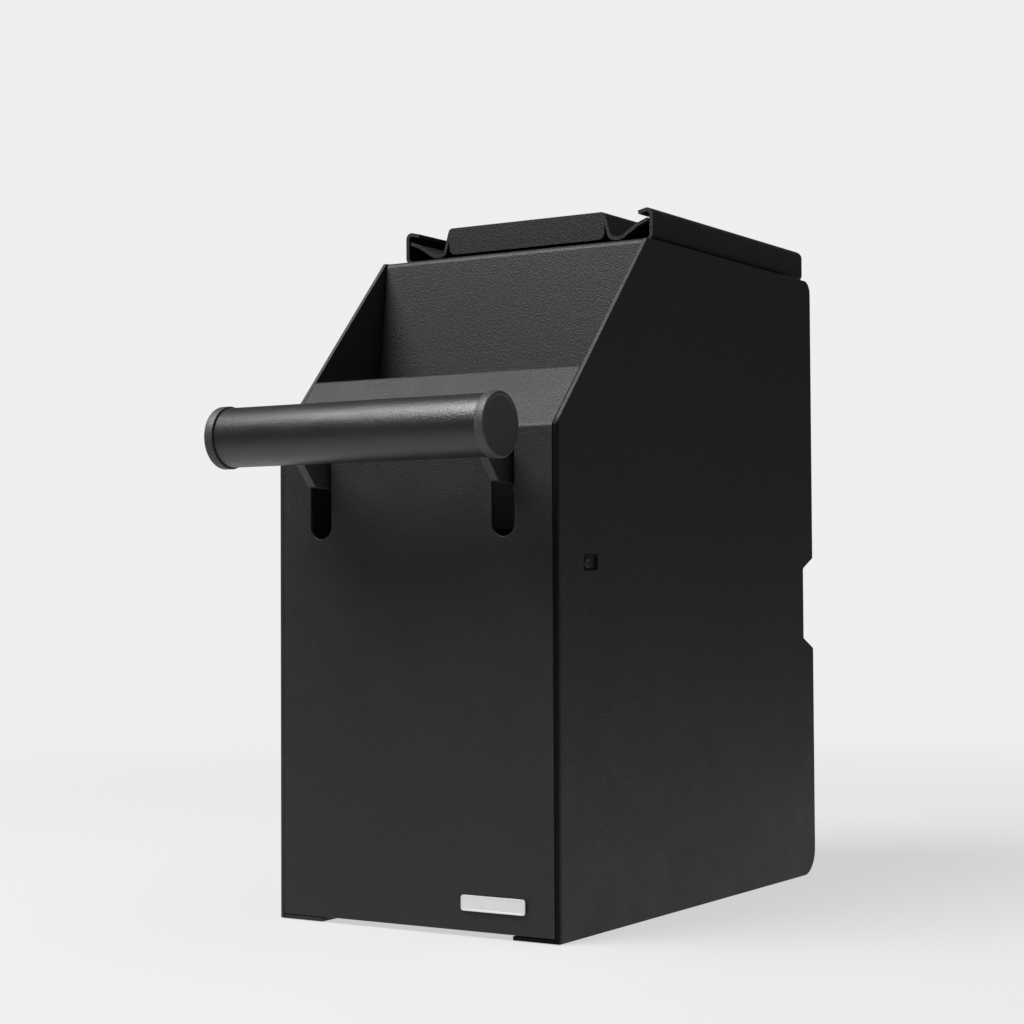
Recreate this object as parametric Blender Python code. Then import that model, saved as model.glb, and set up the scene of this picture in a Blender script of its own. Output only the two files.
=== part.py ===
"""Under-counter cash deposit box with a push lever, a lockable rear door and a slide-on mounting bracket.

Lengths are metres. Every shape is drawn in the box's own frame: X to the right, Y from the front panel's
face to the back, Z up from the surface that the box stands on. The empty "box_origin" carries that frame.
"""

import math

import bmesh
import bpy
from mathutils import Matrix, Vector

MM = 0.001

# --- driving dimensions -------------------------------------------------------------------------------
BOX_WIDTH = 102.0 * MM
BOX_DEPTH = 180.7 * MM
BODY_HEIGHT = 213.9 * MM
FACE_HEIGHT = 151.7 * MM  # where the front panel bends back into the funnel
SLOPE_DEPTH = 56.8 * MM  # where the sloping cheeks reach the top
TOTAL_HEIGHT = 225.4 * MM  # top of the mounting bracket
SHEET = 1.2 * MM
GAP = 0.3 * MM  # between touching pieces
PLAY = 0.1 * MM  # round a pin that turns in its hole
OVERSHOOT = 1.0 * MM  # how far a cutter runs past what it cuts
BEND = 2.0 * MM  # outer bend radius of the sheet metal
BEND_STEPS = 4
ROUND_STEPS = 24

HALF = BOX_WIDTH / 2
INNER = HALF - SHEET - GAP  # half width of what sits between the side panels

FOOT_WIDTH = 16.0 * MM
FLOOR_Z = SHEET + GAP
FLOOR_TOP = FLOOR_Z + SHEET
FLOOR_REAR = 168.0 * MM
RIVET_X = 42.5 * MM
RIVET_YS = (18.0 * MM, 90.0 * MM, 148.0 * MM)

PIVOT_Y = 19.2 * MM
PIVOT_Z = 111.2 * MM
SHAFT_R = 3.0 * MM
JOURNAL_R = 1.8 * MM  # the shaft's thinner ends
BOSS_Y = 19.8 * MM  # middle of the bushes' oblong boss
BOSS_HALF = (4.1 * MM, 2.3 * MM)
BOSS_CORNER = 0.7 * MM
BOSS_RECESS = 0.9 * MM  # from the side panel's outer face
BOSS_PLAY = 0.2 * MM
BUSH_FLANGE = 1.2 * MM
GRIP_Y = -28.8 * MM
GRIP_Z = 149.8 * MM
GRIP_R = 9.1 * MM
GRIP_WALL = 1.6 * MM
CAP_R = 9.6 * MM
GRIP_STEPS = 40
GRIP_HALF = 50.3 * MM  # to the outer face of the end caps
CAP_RIM = 3.2 * MM
CROSSBAR_R = 3.0 * MM

ARM_XS = {-1: -35.0 * MM, 1: 32.4 * MM}  # the arms stand slightly left of the middle
ARM_THICK = 3.0 * MM
SLOT_WIDTH = 8.0 * MM
SLOT_LOW = 119.0 * MM
SLOT_HIGH = 149.2 * MM
PUSHER_HALF = 28.0 * MM
PUSHER_Y = PIVOT_Y + 1.0 * MM  # front face of the pusher plate

FRAME_Y = 34.6 * MM  # front face of the note retaining frame
CHUTE_Y = 37.6 * MM  # lower back wall of the note chute
GUIDE_Y = 26.2 * MM  # front face of the note guides
FLAP_Y = 73.4 * MM
FLAP_HALF = 43.0 * MM
FLAP_PIVOT_Y = FLAP_Y + 0.8 * MM
FLAP_Z = 150.0 * MM
STUD_R = 2.0 * MM

DOOR_Y = 171.5 * MM  # outer face of the rear door
DOOR_TOP = 209.0 * MM
HINGE_R = 3.2 * MM
PIN_R = 1.8 * MM
HINGE_Y = DOOR_Y + 1.0 * MM  # behind the door's weight, so that it leans shut
HINGE_Z = 6.4 * MM
LOCK_Z = 188.0 * MM
LOCK_R = 7.7 * MM
PLUG_R = 5.0 * MM
LOCK_INNER_END = 152.0 * MM
LOCK_FACE = DOOR_Y + 2.0 * MM
PLUG_BACK = LOCK_INNER_END - 0.8 * MM
CAM_REAR = PLUG_BACK - GAP
CAM_THICK = 2.0 * MM
CAM_SCREW_R = 2.0 * MM

TRAY_HALF = 48.0 * MM
RAIL_FRONT = 66.0 * MM
RAIL_REAR = 180.5 * MM
TRAY_Z = BODY_HEIGHT + GAP
BRACKET_REAR = 179.0 * MM
BRACKET_HOLES = [(x * MM, y * MM) for x in (-18.0, 18.0) for y in (84.0, 162.0)]
BRACKET_HOLE_R = 2.3 * MM
TRAY_RIVETS = [(x * MM, y * MM) for x in (-12.0, 12.0) for y in (90.0, 142.0)]
TRAY_HOLE_R = 1.8 * MM
CLAMP_X = 36.0 * MM
CLAMP_Y = 120.0 * MM
CLAMP_HOLE_R = 2.8 * MM
UNDER_TOP = BODY_HEIGHT - SHEET - GAP  # where pieces fixed under the top panel begin

OVERALL_FRONT = GRIP_Y - CAP_R
FRONT_FACE_Y = -(OVERALL_FRONT + BOX_DEPTH) / 2  # puts the origin under the middle of the whole object

BLACK = (0.022, 0.024, 0.024)
MATERIALS = {
    "powder_coat": (BLACK, 0.55, 0.0),
    "grip_plastic": ((0.03, 0.032, 0.033), 0.35, 0.0),
    "black_plastic": ((0.025, 0.025, 0.027), 0.5, 0.0),
    "zinc_steel": ((0.55, 0.56, 0.57), 0.35, 1.0),
    "spring_steel": ((0.42, 0.43, 0.45), 0.3, 1.0),
    "nickel": ((0.66, 0.64, 0.6), 0.22, 1.0),
    "pad_rubber": ((0.05, 0.05, 0.05), 0.85, 0.0),
    "label_metal": ((0.72, 0.73, 0.74), 0.4, 1.0),
}


# --- small tools --------------------------------------------------------------------------------------
def clear_scene():
    for item in list(bpy.data.objects):
        bpy.data.objects.remove(item, do_unlink=True)


def material(kind):
    if kind in bpy.data.materials:
        return bpy.data.materials[kind]
    colour, roughness, metallic = MATERIALS[kind]
    made = bpy.data.materials.new(kind)
    made.use_nodes = True
    shader = made.node_tree.nodes["Principled BSDF"]
    shader.inputs["Base Color"].default_value = (*colour, 1.0)
    shader.inputs["Roughness"].default_value = roughness
    shader.inputs["Metallic"].default_value = metallic
    return made


def empty(name, parent=None, location=(0, 0, 0)):
    made = bpy.data.objects.new(name, None)
    made.parent = parent
    made.location = location
    bpy.context.scene.collection.objects.link(made)
    return made


def finish_mesh(name, mesh_data, parent, kind=None):
    """An object from a bmesh drawn in the box frame, hung on an empty without moving it."""
    bmesh.ops.recalc_face_normals(mesh_data, faces=mesh_data.faces[:])
    mesh = bpy.data.meshes.new(name)
    mesh_data.to_mesh(mesh)
    mesh_data.free()
    made = bpy.data.objects.new(name, mesh)
    made.parent = parent
    made.location = -parent.location if parent.parent else (0, 0, 0)
    bpy.context.scene.collection.objects.link(made)
    if kind:
        mesh.materials.append(material(kind))
    return made


def smooth(made, degrees=40):
    made.data.shade_smooth()
    made.data.set_sharp_from_angle(angle=math.radians(degrees))
    return made


def place(axis, u, v, along):
    """A point from its two outline coordinates and its place along the axis of extrusion."""
    if axis == "X":
        return Vector((along, u, v))
    if axis == "Y":
        return Vector((u, along, v))
    return Vector((u, v, along))


def arc(centre, radius, start, stop, steps):
    """Points on a circle from start to stop, in degrees."""
    points = []
    for index in range(steps + 1):
        angle = math.radians(start + (stop - start) * index / steps)
        points.append((centre[0] + radius * math.cos(angle), centre[1] + radius * math.sin(angle)))
    return points


def rounded_rectangle(centre, half_u, half_v, corner):
    points = []
    for sign_u, sign_v, start in ((1, 1, 0), (-1, 1, 90), (-1, -1, 180), (1, -1, 270)):
        middle = (centre[0] + sign_u * (half_u - corner), centre[1] + sign_v * (half_v - corner))
        points += arc(middle, corner, start, start + 90, 4)
    return points


def fillet(points, radii):
    """An open polyline whose inner corners are rounded to the given radii."""
    path = [Vector(points[0])]
    for index in range(1, len(points) - 1):
        corner = Vector(points[index])
        back = (Vector(points[index - 1]) - corner).normalized()
        ahead = (Vector(points[index + 1]) - corner).normalized()
        half = back.angle(ahead) / 2
        reach = radii[index - 1] / math.tan(half)
        centre = corner + (back + ahead).normalized() * (radii[index - 1] / math.sin(half))
        first = corner + back * reach - centre
        turn = (corner + ahead * reach - centre).angle_signed(first)
        for step in range(BEND_STEPS + 1):
            path.append(centre + Matrix.Rotation(turn * step / BEND_STEPS, 2) @ first)
    path.append(Vector(points[-1]))
    return path


def sheet_outline(points, radii, side, thickness=SHEET):
    """A bent sheet's closed cross-section: its outer face, and that face set in by the thickness.

    side is 1 when the metal lies to the left of the path and -1 when it lies to the right.
    """
    face = fillet(points, radii)
    inner = []
    for index, point in enumerate(face):
        before = (point - face[index - 1]).normalized() if index else None
        after = (face[index + 1] - point).normalized() if index + 1 < len(face) else None
        before = before or after
        after = after or before
        normal = (Vector((-before.y, before.x)) + Vector((-after.y, after.x))).normalized()
        stretch = 1.0 / max(0.3, normal.dot(Vector((-before.y, before.x))))
        inner.append(point + normal * side * thickness * stretch)
    return [tuple(point) for point in face + inner[::-1]]


def prism(name, outline, axis, low, high, parent, kind=None):
    """A flat outline pushed along an axis."""
    data = bmesh.new()
    ring_low = [data.verts.new(place(axis, u, v, low)) for u, v in outline]
    ring_high = [data.verts.new(place(axis, u, v, high)) for u, v in outline]
    data.faces.new(ring_low)
    data.faces.new(ring_high[::-1])
    count = len(outline)
    for index in range(count):
        after = (index + 1) % count
        data.faces.new((ring_low[index], ring_high[index], ring_high[after], ring_low[after]))
    return finish_mesh(name, data, parent, kind)


def block(name, low, high, parent, kind=None):
    outline = [(low[0], low[1]), (high[0], low[1]), (high[0], high[1]), (low[0], high[1])]
    return prism(name, outline, "Z", low[2], high[2], parent, kind)


def turned(name, profile, axis, centre, parent, kind=None, closed=False, steps=ROUND_STEPS):
    """A turned piece. profile holds (place along the axis, radius); a closed profile makes a ring."""
    data = bmesh.new()
    rings = []
    for along, radius in profile:
        if radius == 0:
            rings.append([data.verts.new(place(axis, centre[0], centre[1], along))])
            continue
        ring = []
        for index in range(steps):
            angle = 2 * math.pi * index / steps
            u = centre[0] + radius * math.cos(angle)
            v = centre[1] + radius * math.sin(angle)
            ring.append(data.verts.new(place(axis, u, v, along)))
        rings.append(ring)
    pairs = list(zip(rings, rings[1:]))
    if closed:
        pairs.append((rings[-1], rings[0]))
    for first, second in pairs:
        for index in range(steps):
            after = (index + 1) % steps
            corners = [first[index % len(first)], first[after % len(first)]]
            corners += [second[after % len(second)], second[index % len(second)]]
            corners = list(dict.fromkeys(corners))
            if len(corners) > 2:
                data.faces.new(corners)
    return smooth(finish_mesh(name, data, parent, kind))


def rod(name, axis, centre, low, high, radius, parent, kind=None, chamfer=0.0, steps=ROUND_STEPS):
    profile = [(low, 0), (low, radius - chamfer)]
    if chamfer:
        profile += [(low + chamfer, radius), (high - chamfer, radius)]
    profile += [(high, radius - chamfer), (high, 0)]
    return turned(name, profile, axis, centre, parent, kind, steps=steps)


def ring(name, axis, centre, low, high, inner, outer, parent, kind=None, steps=ROUND_STEPS):
    profile = [(low, inner), (low, outer), (high, outer), (high, inner)]
    return turned(name, profile, axis, centre, parent, kind, closed=True, steps=steps)


def boolean(target, other, operation):
    other.hide_render = True
    other.display_type = "WIRE"
    change = target.modifiers.new(other.name, "BOOLEAN")
    change.operation = operation
    change.solver = "EXACT"
    change.object = other
    return target


def cut(target, *cutters):
    for cutter in cutters:
        boolean(target, cutter, "DIFFERENCE")
    return target


def weld(target, *others):
    for other in others:
        boolean(target, other, "UNION")
    return target


def swept_wire(name, points, radius, sides, parent, kind):
    """A round wire along a list of points, with flat ends."""
    data = bmesh.new()
    rings = []
    normal = None
    for index, point in enumerate(points):
        ahead = points[min(index + 1, len(points) - 1)] - points[max(index - 1, 0)]
        ahead.normalize()
        if normal is None:
            normal = ahead.orthogonal().normalized()
        normal = (normal - ahead * normal.dot(ahead)).normalized()
        across = ahead.cross(normal)
        ring_verts = []
        for side in range(sides):
            angle = 2 * math.pi * side / sides
            out = normal * math.cos(angle) + across * math.sin(angle)
            ring_verts.append(data.verts.new(point + out * radius))
        rings.append(ring_verts)
    for first, second in zip(rings, rings[1:]):
        for side in range(sides):
            after = (side + 1) % sides
            data.faces.new((first[side], first[after], second[after], second[side]))
    data.faces.new(rings[0][::-1])
    data.faces.new(rings[-1])
    return smooth(finish_mesh(name, data, parent, kind), 60)


# --- casing -------------------------------------------------------------------------------------------
def side_panel(name, side, box):
    """Side sheet: sloping cheek in front, finger notch behind, and a foot flange turned in below."""
    corner_low, corner_high = 9.0 * MM, 4.5 * MM
    notch_low, notch_high = 80.9 * MM, 113.5 * MM
    notch_depth, notch_slope = 8.2 * MM, 3.8 * MM
    outline = [(0, 0)]
    outline += arc((BOX_DEPTH - corner_low, corner_low), corner_low, -90, 0, 8)
    outline += [
        (BOX_DEPTH, notch_low),
        (BOX_DEPTH - notch_depth, notch_low + notch_slope),
        (BOX_DEPTH - notch_depth, notch_high - notch_slope),
        (BOX_DEPTH, notch_high),
    ]
    outline += arc((BOX_DEPTH - corner_high, BODY_HEIGHT - corner_high), corner_high, 0, 90, 5)
    outline += [(SLOPE_DEPTH, BODY_HEIGHT), (0, FACE_HEIGHT)]
    inside, outside = sorted((side * (HALF - SHEET), side * HALF))
    panel = prism(name, outline, "X", inside, outside, box, "powder_coat")
    flange_end, flange_root = sorted((side * (HALF - FOOT_WIDTH), side * (HALF - SHEET / 2)))
    flange = block(name + "_foot", (flange_end, GAP, 0), (flange_root, FLOOR_REAR, SHEET), box)
    half_y, half_z = BOSS_HALF[0] + BOSS_PLAY, BOSS_HALF[1] + BOSS_PLAY
    oblong = rounded_rectangle((BOSS_Y, PIVOT_Z), half_y, half_z, BOSS_CORNER + BOSS_PLAY)
    hole = prism(name + "_hole", oblong, "X", inside - OVERSHOOT, outside + OVERSHOOT, box)
    return cut(weld(panel, flange), hole, *foot_holes(name, side, box))


def foot_holes(name, side, box):
    hole_r = 2.0 * MM
    holes = []
    for number, y in enumerate(RIVET_YS):
        low, high = -OVERSHOOT, FLOOR_TOP + OVERSHOOT
        hole = rod(f"{name}_rivet_hole_{number}", "Z", (side * RIVET_X, y), low, high, hole_r, box, steps=12)
        holes.append(hole)
    return holes


def front_panel(box):
    """Front sheet, bent back above into the lower plate of the funnel and down again as its lip."""
    slope = (BODY_HEIGHT - FACE_HEIGHT) / SLOPE_DEPTH
    lip_y, lip_bottom = 19.6 * MM, 158.0 * MM
    lip_r = 1.8 * MM
    face = [(0, SHEET + GAP), (0, FACE_HEIGHT), (lip_y, FACE_HEIGHT + slope * lip_y), (lip_y, lip_bottom)]
    outline = sheet_outline(face, [BEND, lip_r], -1)
    panel = prism("front_panel", outline, "X", -INNER, INNER, box, "powder_coat")
    cutters = []
    radius = SLOT_WIDTH / 2
    for side in (-1, 1):
        x = ARM_XS[side]
        slot = arc((x, SLOT_HIGH - radius), radius, 0, 180, 10)
        slot += arc((x, SLOT_LOW + radius), radius, 180, 360, 10)
        cutters.append(prism(f"slot_cutter_{side}", slot, "Y", -OVERSHOOT, SHEET + OVERSHOOT, box))
    return cut(panel, *cutters)


def top_panel(box):
    """Top sheet: door stop behind, flat top, then the back wall of the note chute."""
    stop_y, stop_bottom = 169.6 * MM, 203.0 * MM
    throat_y, throat_z = 51.0 * MM, 166.0 * MM
    chute_top, chute_bottom = 146.0 * MM, 122.0 * MM
    face = [
        (stop_y, stop_bottom),
        (stop_y, BODY_HEIGHT),
        (SLOPE_DEPTH, BODY_HEIGHT),
        (throat_y, throat_z),
        (CHUTE_Y, chute_top),
        (CHUTE_Y, chute_bottom),
    ]
    chute_r = 6.0 * MM
    outline = sheet_outline(face, [BEND, BEND, chute_r, chute_r], 1)
    panel = prism("top_panel", outline, "X", -INNER, INNER, box, "powder_coat")
    low, high = BODY_HEIGHT - SHEET - OVERSHOOT, BODY_HEIGHT + OVERSHOOT
    return cut(panel, *tray_hole_cutters("top", low, high, box))


def tray_hole_cutters(name, low, high, box):
    cutters = []
    for number, centre in enumerate(TRAY_RIVETS):
        hole_name = f"{name}_rivet_hole_{number}"
        cutters.append(rod(hole_name, "Z", centre, low, high, TRAY_HOLE_R, box, steps=16))
    clamp = (CLAMP_X, CLAMP_Y)
    cutters.append(rod(f"{name}_clamp_hole", "Z", clamp, low, high, CLAMP_HOLE_R, box, steps=16))
    return cutters


def floor_panel(box):
    """Floor sheet with a front and a rear upstand and two ears that hold the door's hinge pin."""
    front, upstand = SHEET + GAP, 10.0 * MM
    face = [
        (front, FLOOR_Z + upstand),
        (front, FLOOR_Z),
        (FLOOR_REAR, FLOOR_Z),
        (FLOOR_REAR, FLOOR_Z + upstand),
    ]
    outline = sheet_outline(face, [BEND, BEND], 1)
    ear_x, ear_r = 44.0 * MM, 4.0 * MM
    ear_front, ear_low = FLOOR_REAR - 8 * MM, FLOOR_Z + SHEET / 2
    floor = prism("floor_panel", outline, "X", -INNER, INNER, box, "powder_coat")
    for side in (-1, 1):
        low, high = sorted((side * ear_x, side * (ear_x + SHEET)))
        shape = [(ear_front, ear_low), (HINGE_Y, ear_low)]
        shape += arc((HINGE_Y, HINGE_Z), ear_r, -80, 90, 8)
        shape += [(ear_front, HINGE_Z + ear_r)]
        ear = prism(f"hinge_ear_{side}", shape, "X", low, high, box)
        ends = (low - OVERSHOOT, high + OVERSHOOT)
        hole = rod(f"hinge_ear_hole_{side}", "X", (HINGE_Y, HINGE_Z), *ends, PIN_R + GAP, box)
        cut(weld(floor, ear), hole)
    return cut(floor, *foot_holes("floor", -1, box), *foot_holes("floor_right", 1, box))


def floor_rivets(box):
    shank_r, head_r, head_z = 1.6 * MM, 3.0 * MM, FLOOR_TOP + GAP
    dome_r, dome_edge, dome_top = 2.4 * MM, head_z + 0.7 * MM, head_z + 1.1 * MM
    profile = [(GAP, 0), (GAP, shank_r), (head_z, shank_r), (head_z, head_r)]
    profile += [(dome_edge, dome_r), (dome_top, 0)]
    for side, x in (("left", -RIVET_X), ("right", RIVET_X)):
        for number, y in enumerate(RIVET_YS, 1):
            turned(f"{side}_floor_rivet_{number}", profile, "Z", (x, y), box, "zinc_steel", steps=12)


def label_plate(box):
    """Small blank metal label low on the front panel."""
    centre_x, centre_z = 28.6 * MM, 9.95 * MM
    half_x, half_z, corner = 11.25 * MM, 2.35 * MM, 1.0 * MM
    face = 0.8 * MM
    outline = rounded_rectangle((centre_x, centre_z), half_x, half_z, corner)
    return prism("label_plate", outline, "Y", -face, -GAP, box, "label_metal")


# --- note path ----------------------------------------------------------------------------------------
def note_guide(name, side, box):
    """Angle strip that keeps a note's edge in the channel between the lever and the retaining frame."""
    inner_x = 42.2 * MM
    front, rear = GUIDE_Y, FRAME_Y - GAP
    low, high = FLOOR_TOP + GAP, 140.0 * MM
    outline = [
        (side * inner_x, front),
        (side * INNER, front),
        (side * INNER, front + SHEET),
        (side * (inner_x + SHEET), front + SHEET),
        (side * (inner_x + SHEET), rear),
        (side * inner_x, rear),
    ]
    return prism(name, outline, "Z", low, high, box, "powder_coat")


def retaining_frame(box):
    """Frame with a window: the pusher bends a note through it, and its edges hold the note back."""
    low, high = FLOOR_TOP + GAP, 118.0 * MM
    flange_depth = 9.0 * MM
    window_half, window_low, window_high = 31.0 * MM, 18.0 * MM, 106.0 * MM
    outline = [
        (-INNER, FRAME_Y),
        (INNER, FRAME_Y),
        (INNER, FRAME_Y + flange_depth),
        (INNER - SHEET, FRAME_Y + flange_depth),
        (INNER - SHEET, FRAME_Y + SHEET),
        (-INNER + SHEET, FRAME_Y + SHEET),
        (-INNER + SHEET, FRAME_Y + flange_depth),
        (-INNER, FRAME_Y + flange_depth),
    ]
    frame = prism("note_retaining_frame", outline, "Z", low, high, box, "powder_coat")
    window = block(
        "frame_window",
        (-window_half, FRAME_Y - OVERSHOOT, window_low),
        (window_half, FRAME_Y + SHEET + OVERSHOOT, window_high),
        box,
    )
    return cut(frame, window)


def stack_flap(box, flap_axis):
    """Hanging plate that keeps the stored notes upright and lifts to take them out."""
    low, high, ear_high = 16.0 * MM, 143.0 * MM, 155.0 * MM
    middle, rear, nose = FLAP_Y + SHEET / 2, FLAP_Y + 6.5 * MM, FLAP_Y - 2.6 * MM
    shoulder = 4.0 * MM
    corners = (-FLAP_HALF, FLAP_Y, low), (FLAP_HALF, FLAP_Y + SHEET, high)
    plate = block("stack_flap", *corners, flap_axis, "zinc_steel")
    for side in (-1, 1):
        inside, outside = sorted((side * (FLAP_HALF - SHEET), side * FLAP_HALF))
        outline = [
            (middle, low),
            (rear, low + shoulder),
            (rear, ear_high - shoulder),
            (rear - shoulder, ear_high),
            (nose, ear_high),
            (nose, high + SHEET),
            (middle, high - shoulder),
        ]
        ear = prism(f"flap_ear_{side}", outline, "X", inside, outside, flap_axis)
        centre = (FLAP_PIVOT_Y, FLAP_Z)
        ends = (inside - OVERSHOOT, outside + OVERSHOOT)
        hole = rod(f"flap_ear_hole_{side}", "X", centre, *ends, STUD_R + PLAY, flap_axis)
        cut(weld(plate, ear), hole)
    return plate


def flap_stud(name, side, box):
    """Shouldered stud, fixed to a side panel, that the flap hangs on."""
    tip, chamfer = 40.0 * MM, 0.4 * MM
    shoulder, shoulder_r = FLAP_HALF + 0.5 * MM, 3.2 * MM
    profile = [
        (side * tip, 0),
        (side * tip, STUD_R - chamfer),
        (side * (tip + chamfer), STUD_R),
        (side * shoulder, STUD_R),
        (side * shoulder, shoulder_r),
        (side * INNER, shoulder_r),
        (side * INNER, 0),
    ]
    return turned(name, profile, "X", (FLAP_PIVOT_Y, FLAP_Z), box, "zinc_steel")


# --- lever --------------------------------------------------------------------------------------------
def lever_arm(name, side, lever):
    """Flat steel arm from the grip, through its slot in the front panel, to the pivot shaft."""
    eye_r, hub_r = 7.1 * MM, 6.0 * MM
    grip, pivot = (GRIP_Y, GRIP_Z), (PIVOT_Y, PIVOT_Z)
    underside = [(-12.6, 144.3), (-4.6, 135.2), (7.0, 134.8), (8.6, 131.0)]
    upper_edge = [(11.5, 146.4), (9.8, 147.6), (-5.0, 147.6), (-14.0, 151.4)]
    outline = arc(grip, eye_r, 18, 310, 14)
    outline += [(y * MM, z * MM) for y, z in underside]
    outline += arc(pivot, hub_r, 170, 385, 14)
    outline += [(y * MM, z * MM) for y, z in upper_edge]
    low, high = ARM_XS[side] - ARM_THICK / 2, ARM_XS[side] + ARM_THICK / 2
    arm = prism(name, outline, "X", low, high, lever, "powder_coat")
    ends = (low - OVERSHOOT, high + OVERSHOOT)
    eye = rod(name + "_eye", "X", grip, *ends, CROSSBAR_R + GAP, lever)
    bore = rod(name + "_bore", "X", pivot, *ends, SHAFT_R + GAP, lever)
    return cut(arm, eye, bore)


def grip_tube(lever):
    """Hollow round grip, slit behind where the arms enter it."""
    half = GRIP_HALF - CAP_RIM - GAP
    centre = (GRIP_Y, GRIP_Z)
    radii = (GRIP_R - GRIP_WALL, GRIP_R)
    tube = ring("grip_tube", "X", centre, -half, half, *radii, lever, "grip_plastic", steps=GRIP_STEPS)
    slit_half = ARM_THICK / 2 + GAP
    slit_front, slit_low, slit_high = GRIP_Y + 3 * MM, 143.2 * MM, 154.6 * MM
    for side in (-1, 1):
        low = (ARM_XS[side] - slit_half, slit_front, slit_low)
        high = (ARM_XS[side] + slit_half, GRIP_Y + GRIP_R + OVERSHOOT, slit_high)
        cut(tube, block(f"grip_slit_{side}", low, high, lever))
    return tube


def grip_cap(name, side, lever):
    """End cap with a rounded rim and a plug that fills the grip's bore."""
    plug_length, edge, bore_depth = 6.0 * MM, 0.9 * MM, 0.6 * MM
    outer = side * GRIP_HALF
    rim = side * (GRIP_HALF - CAP_RIM)
    plug_end = side * (GRIP_HALF - CAP_RIM - plug_length)
    plug_r = GRIP_R - GRIP_WALL - GAP
    bore_r = CROSSBAR_R + GAP
    bore_end = side * (GRIP_HALF - CAP_RIM + bore_depth)
    profile = [
        (outer, 0),
        (outer, CAP_R - edge),
        (outer - side * edge * 0.3, CAP_R - edge * 0.3),
        (outer - side * edge, CAP_R),
        (rim, CAP_R),
        (rim, plug_r),
        (plug_end, plug_r),
        (plug_end, bore_r),
        (bore_end, bore_r),
        (bore_end, 0),
    ]
    return turned(name, profile, "X", (GRIP_Y, GRIP_Z), lever, "grip_plastic", steps=GRIP_STEPS)


def pusher_plate(lever):
    """Plate under the pivot shaft that swings back through the retaining frame."""
    half, sleeve_r = PUSHER_HALF, 5.0 * MM
    low, high = 28.0 * MM, PIVOT_Z - SHAFT_R - 0.6 * MM
    pivot = (PIVOT_Y, PIVOT_Z)
    corners = (-half, PUSHER_Y, low), (half, PUSHER_Y + SHEET, high)
    plate = block("pusher_plate", *corners, lever, "zinc_steel")
    sleeve = rod("pusher_sleeve", "X", pivot, -half, half, sleeve_r, lever)
    bore = rod("pusher_bore", "X", pivot, -half - OVERSHOOT, half + OVERSHOOT, SHAFT_R + GAP, lever)
    return cut(weld(plate, sleeve), bore)


def pusher_pads(lever):
    """Two rubber strips on the pusher's working face."""
    face = PUSHER_Y + SHEET + GAP
    half, thick, low_z, high_z = 5.0 * MM, 1.8 * MM, 32.0 * MM, 98.0 * MM
    for name, middle in (("left_pusher_pad", -PUSHER_HALF / 2), ("right_pusher_pad", PUSHER_HALF / 2)):
        low = (middle - half, face, low_z)
        high = (middle + half, face + thick, high_z)
        block(name, low, high, lever, "pad_rubber")


def pivot_bush(name, side, box):
    """Nylon bush: a flange inside the side panel and an oblong boss that sits in the panel's hole."""
    flange_r, sunk = 6.0 * MM, BUSH_FLANGE / 2
    flange_face = side * (INNER - BUSH_FLANGE)
    pivot = (PIVOT_Y, PIVOT_Z)
    low, high = sorted((flange_face, side * INNER))
    bush = rod(name, "X", pivot, low, high, flange_r, box, "black_plastic")
    low, high = sorted((side * (INNER - sunk), side * (HALF - BOSS_RECESS)))
    oblong = rounded_rectangle((BOSS_Y, PIVOT_Z), *BOSS_HALF, BOSS_CORNER)
    weld(bush, prism(name + "_boss", oblong, "X", low, high, box))
    low, high = sorted((side * (INNER - BUSH_FLANGE - OVERSHOOT), side * (HALF + OVERSHOOT)))
    return cut(bush, rod(name + "_bore", "X", pivot, low, high, JOURNAL_R + PLAY, box))


def pivot_shaft(lever):
    """Shaft between the bushes, with thinner ends that turn in them."""
    shoulder = INNER - BUSH_FLANGE - GAP
    end, chamfer = HALF - 0.6 * MM, 0.4 * MM
    half_profile = [
        (shoulder, SHAFT_R),
        (shoulder, JOURNAL_R),
        (end - chamfer, JOURNAL_R),
        (end, JOURNAL_R - chamfer),
        (end, 0),
    ]
    profile = [(-along, radius) for along, radius in half_profile[::-1]] + half_profile
    return turned("pivot_shaft", profile, "X", (PIVOT_Y, PIVOT_Z), lever, "zinc_steel")


def shaft_clips(lever):
    """Spring clips that keep the shaft in place between the bushes."""
    thick, outer_r = 0.8 * MM, 5.4 * MM
    outside = INNER - BUSH_FLANGE - 0.6 * MM
    for name, side in (("left_shaft_clip", -1), ("right_shaft_clip", 1)):
        low, high = sorted((side * (outside - thick), side * outside))
        centre = (PIVOT_Y, PIVOT_Z)
        ring(name, "X", centre, low, high, SHAFT_R + GAP, outer_r, lever, "spring_steel", steps=16)


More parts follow.
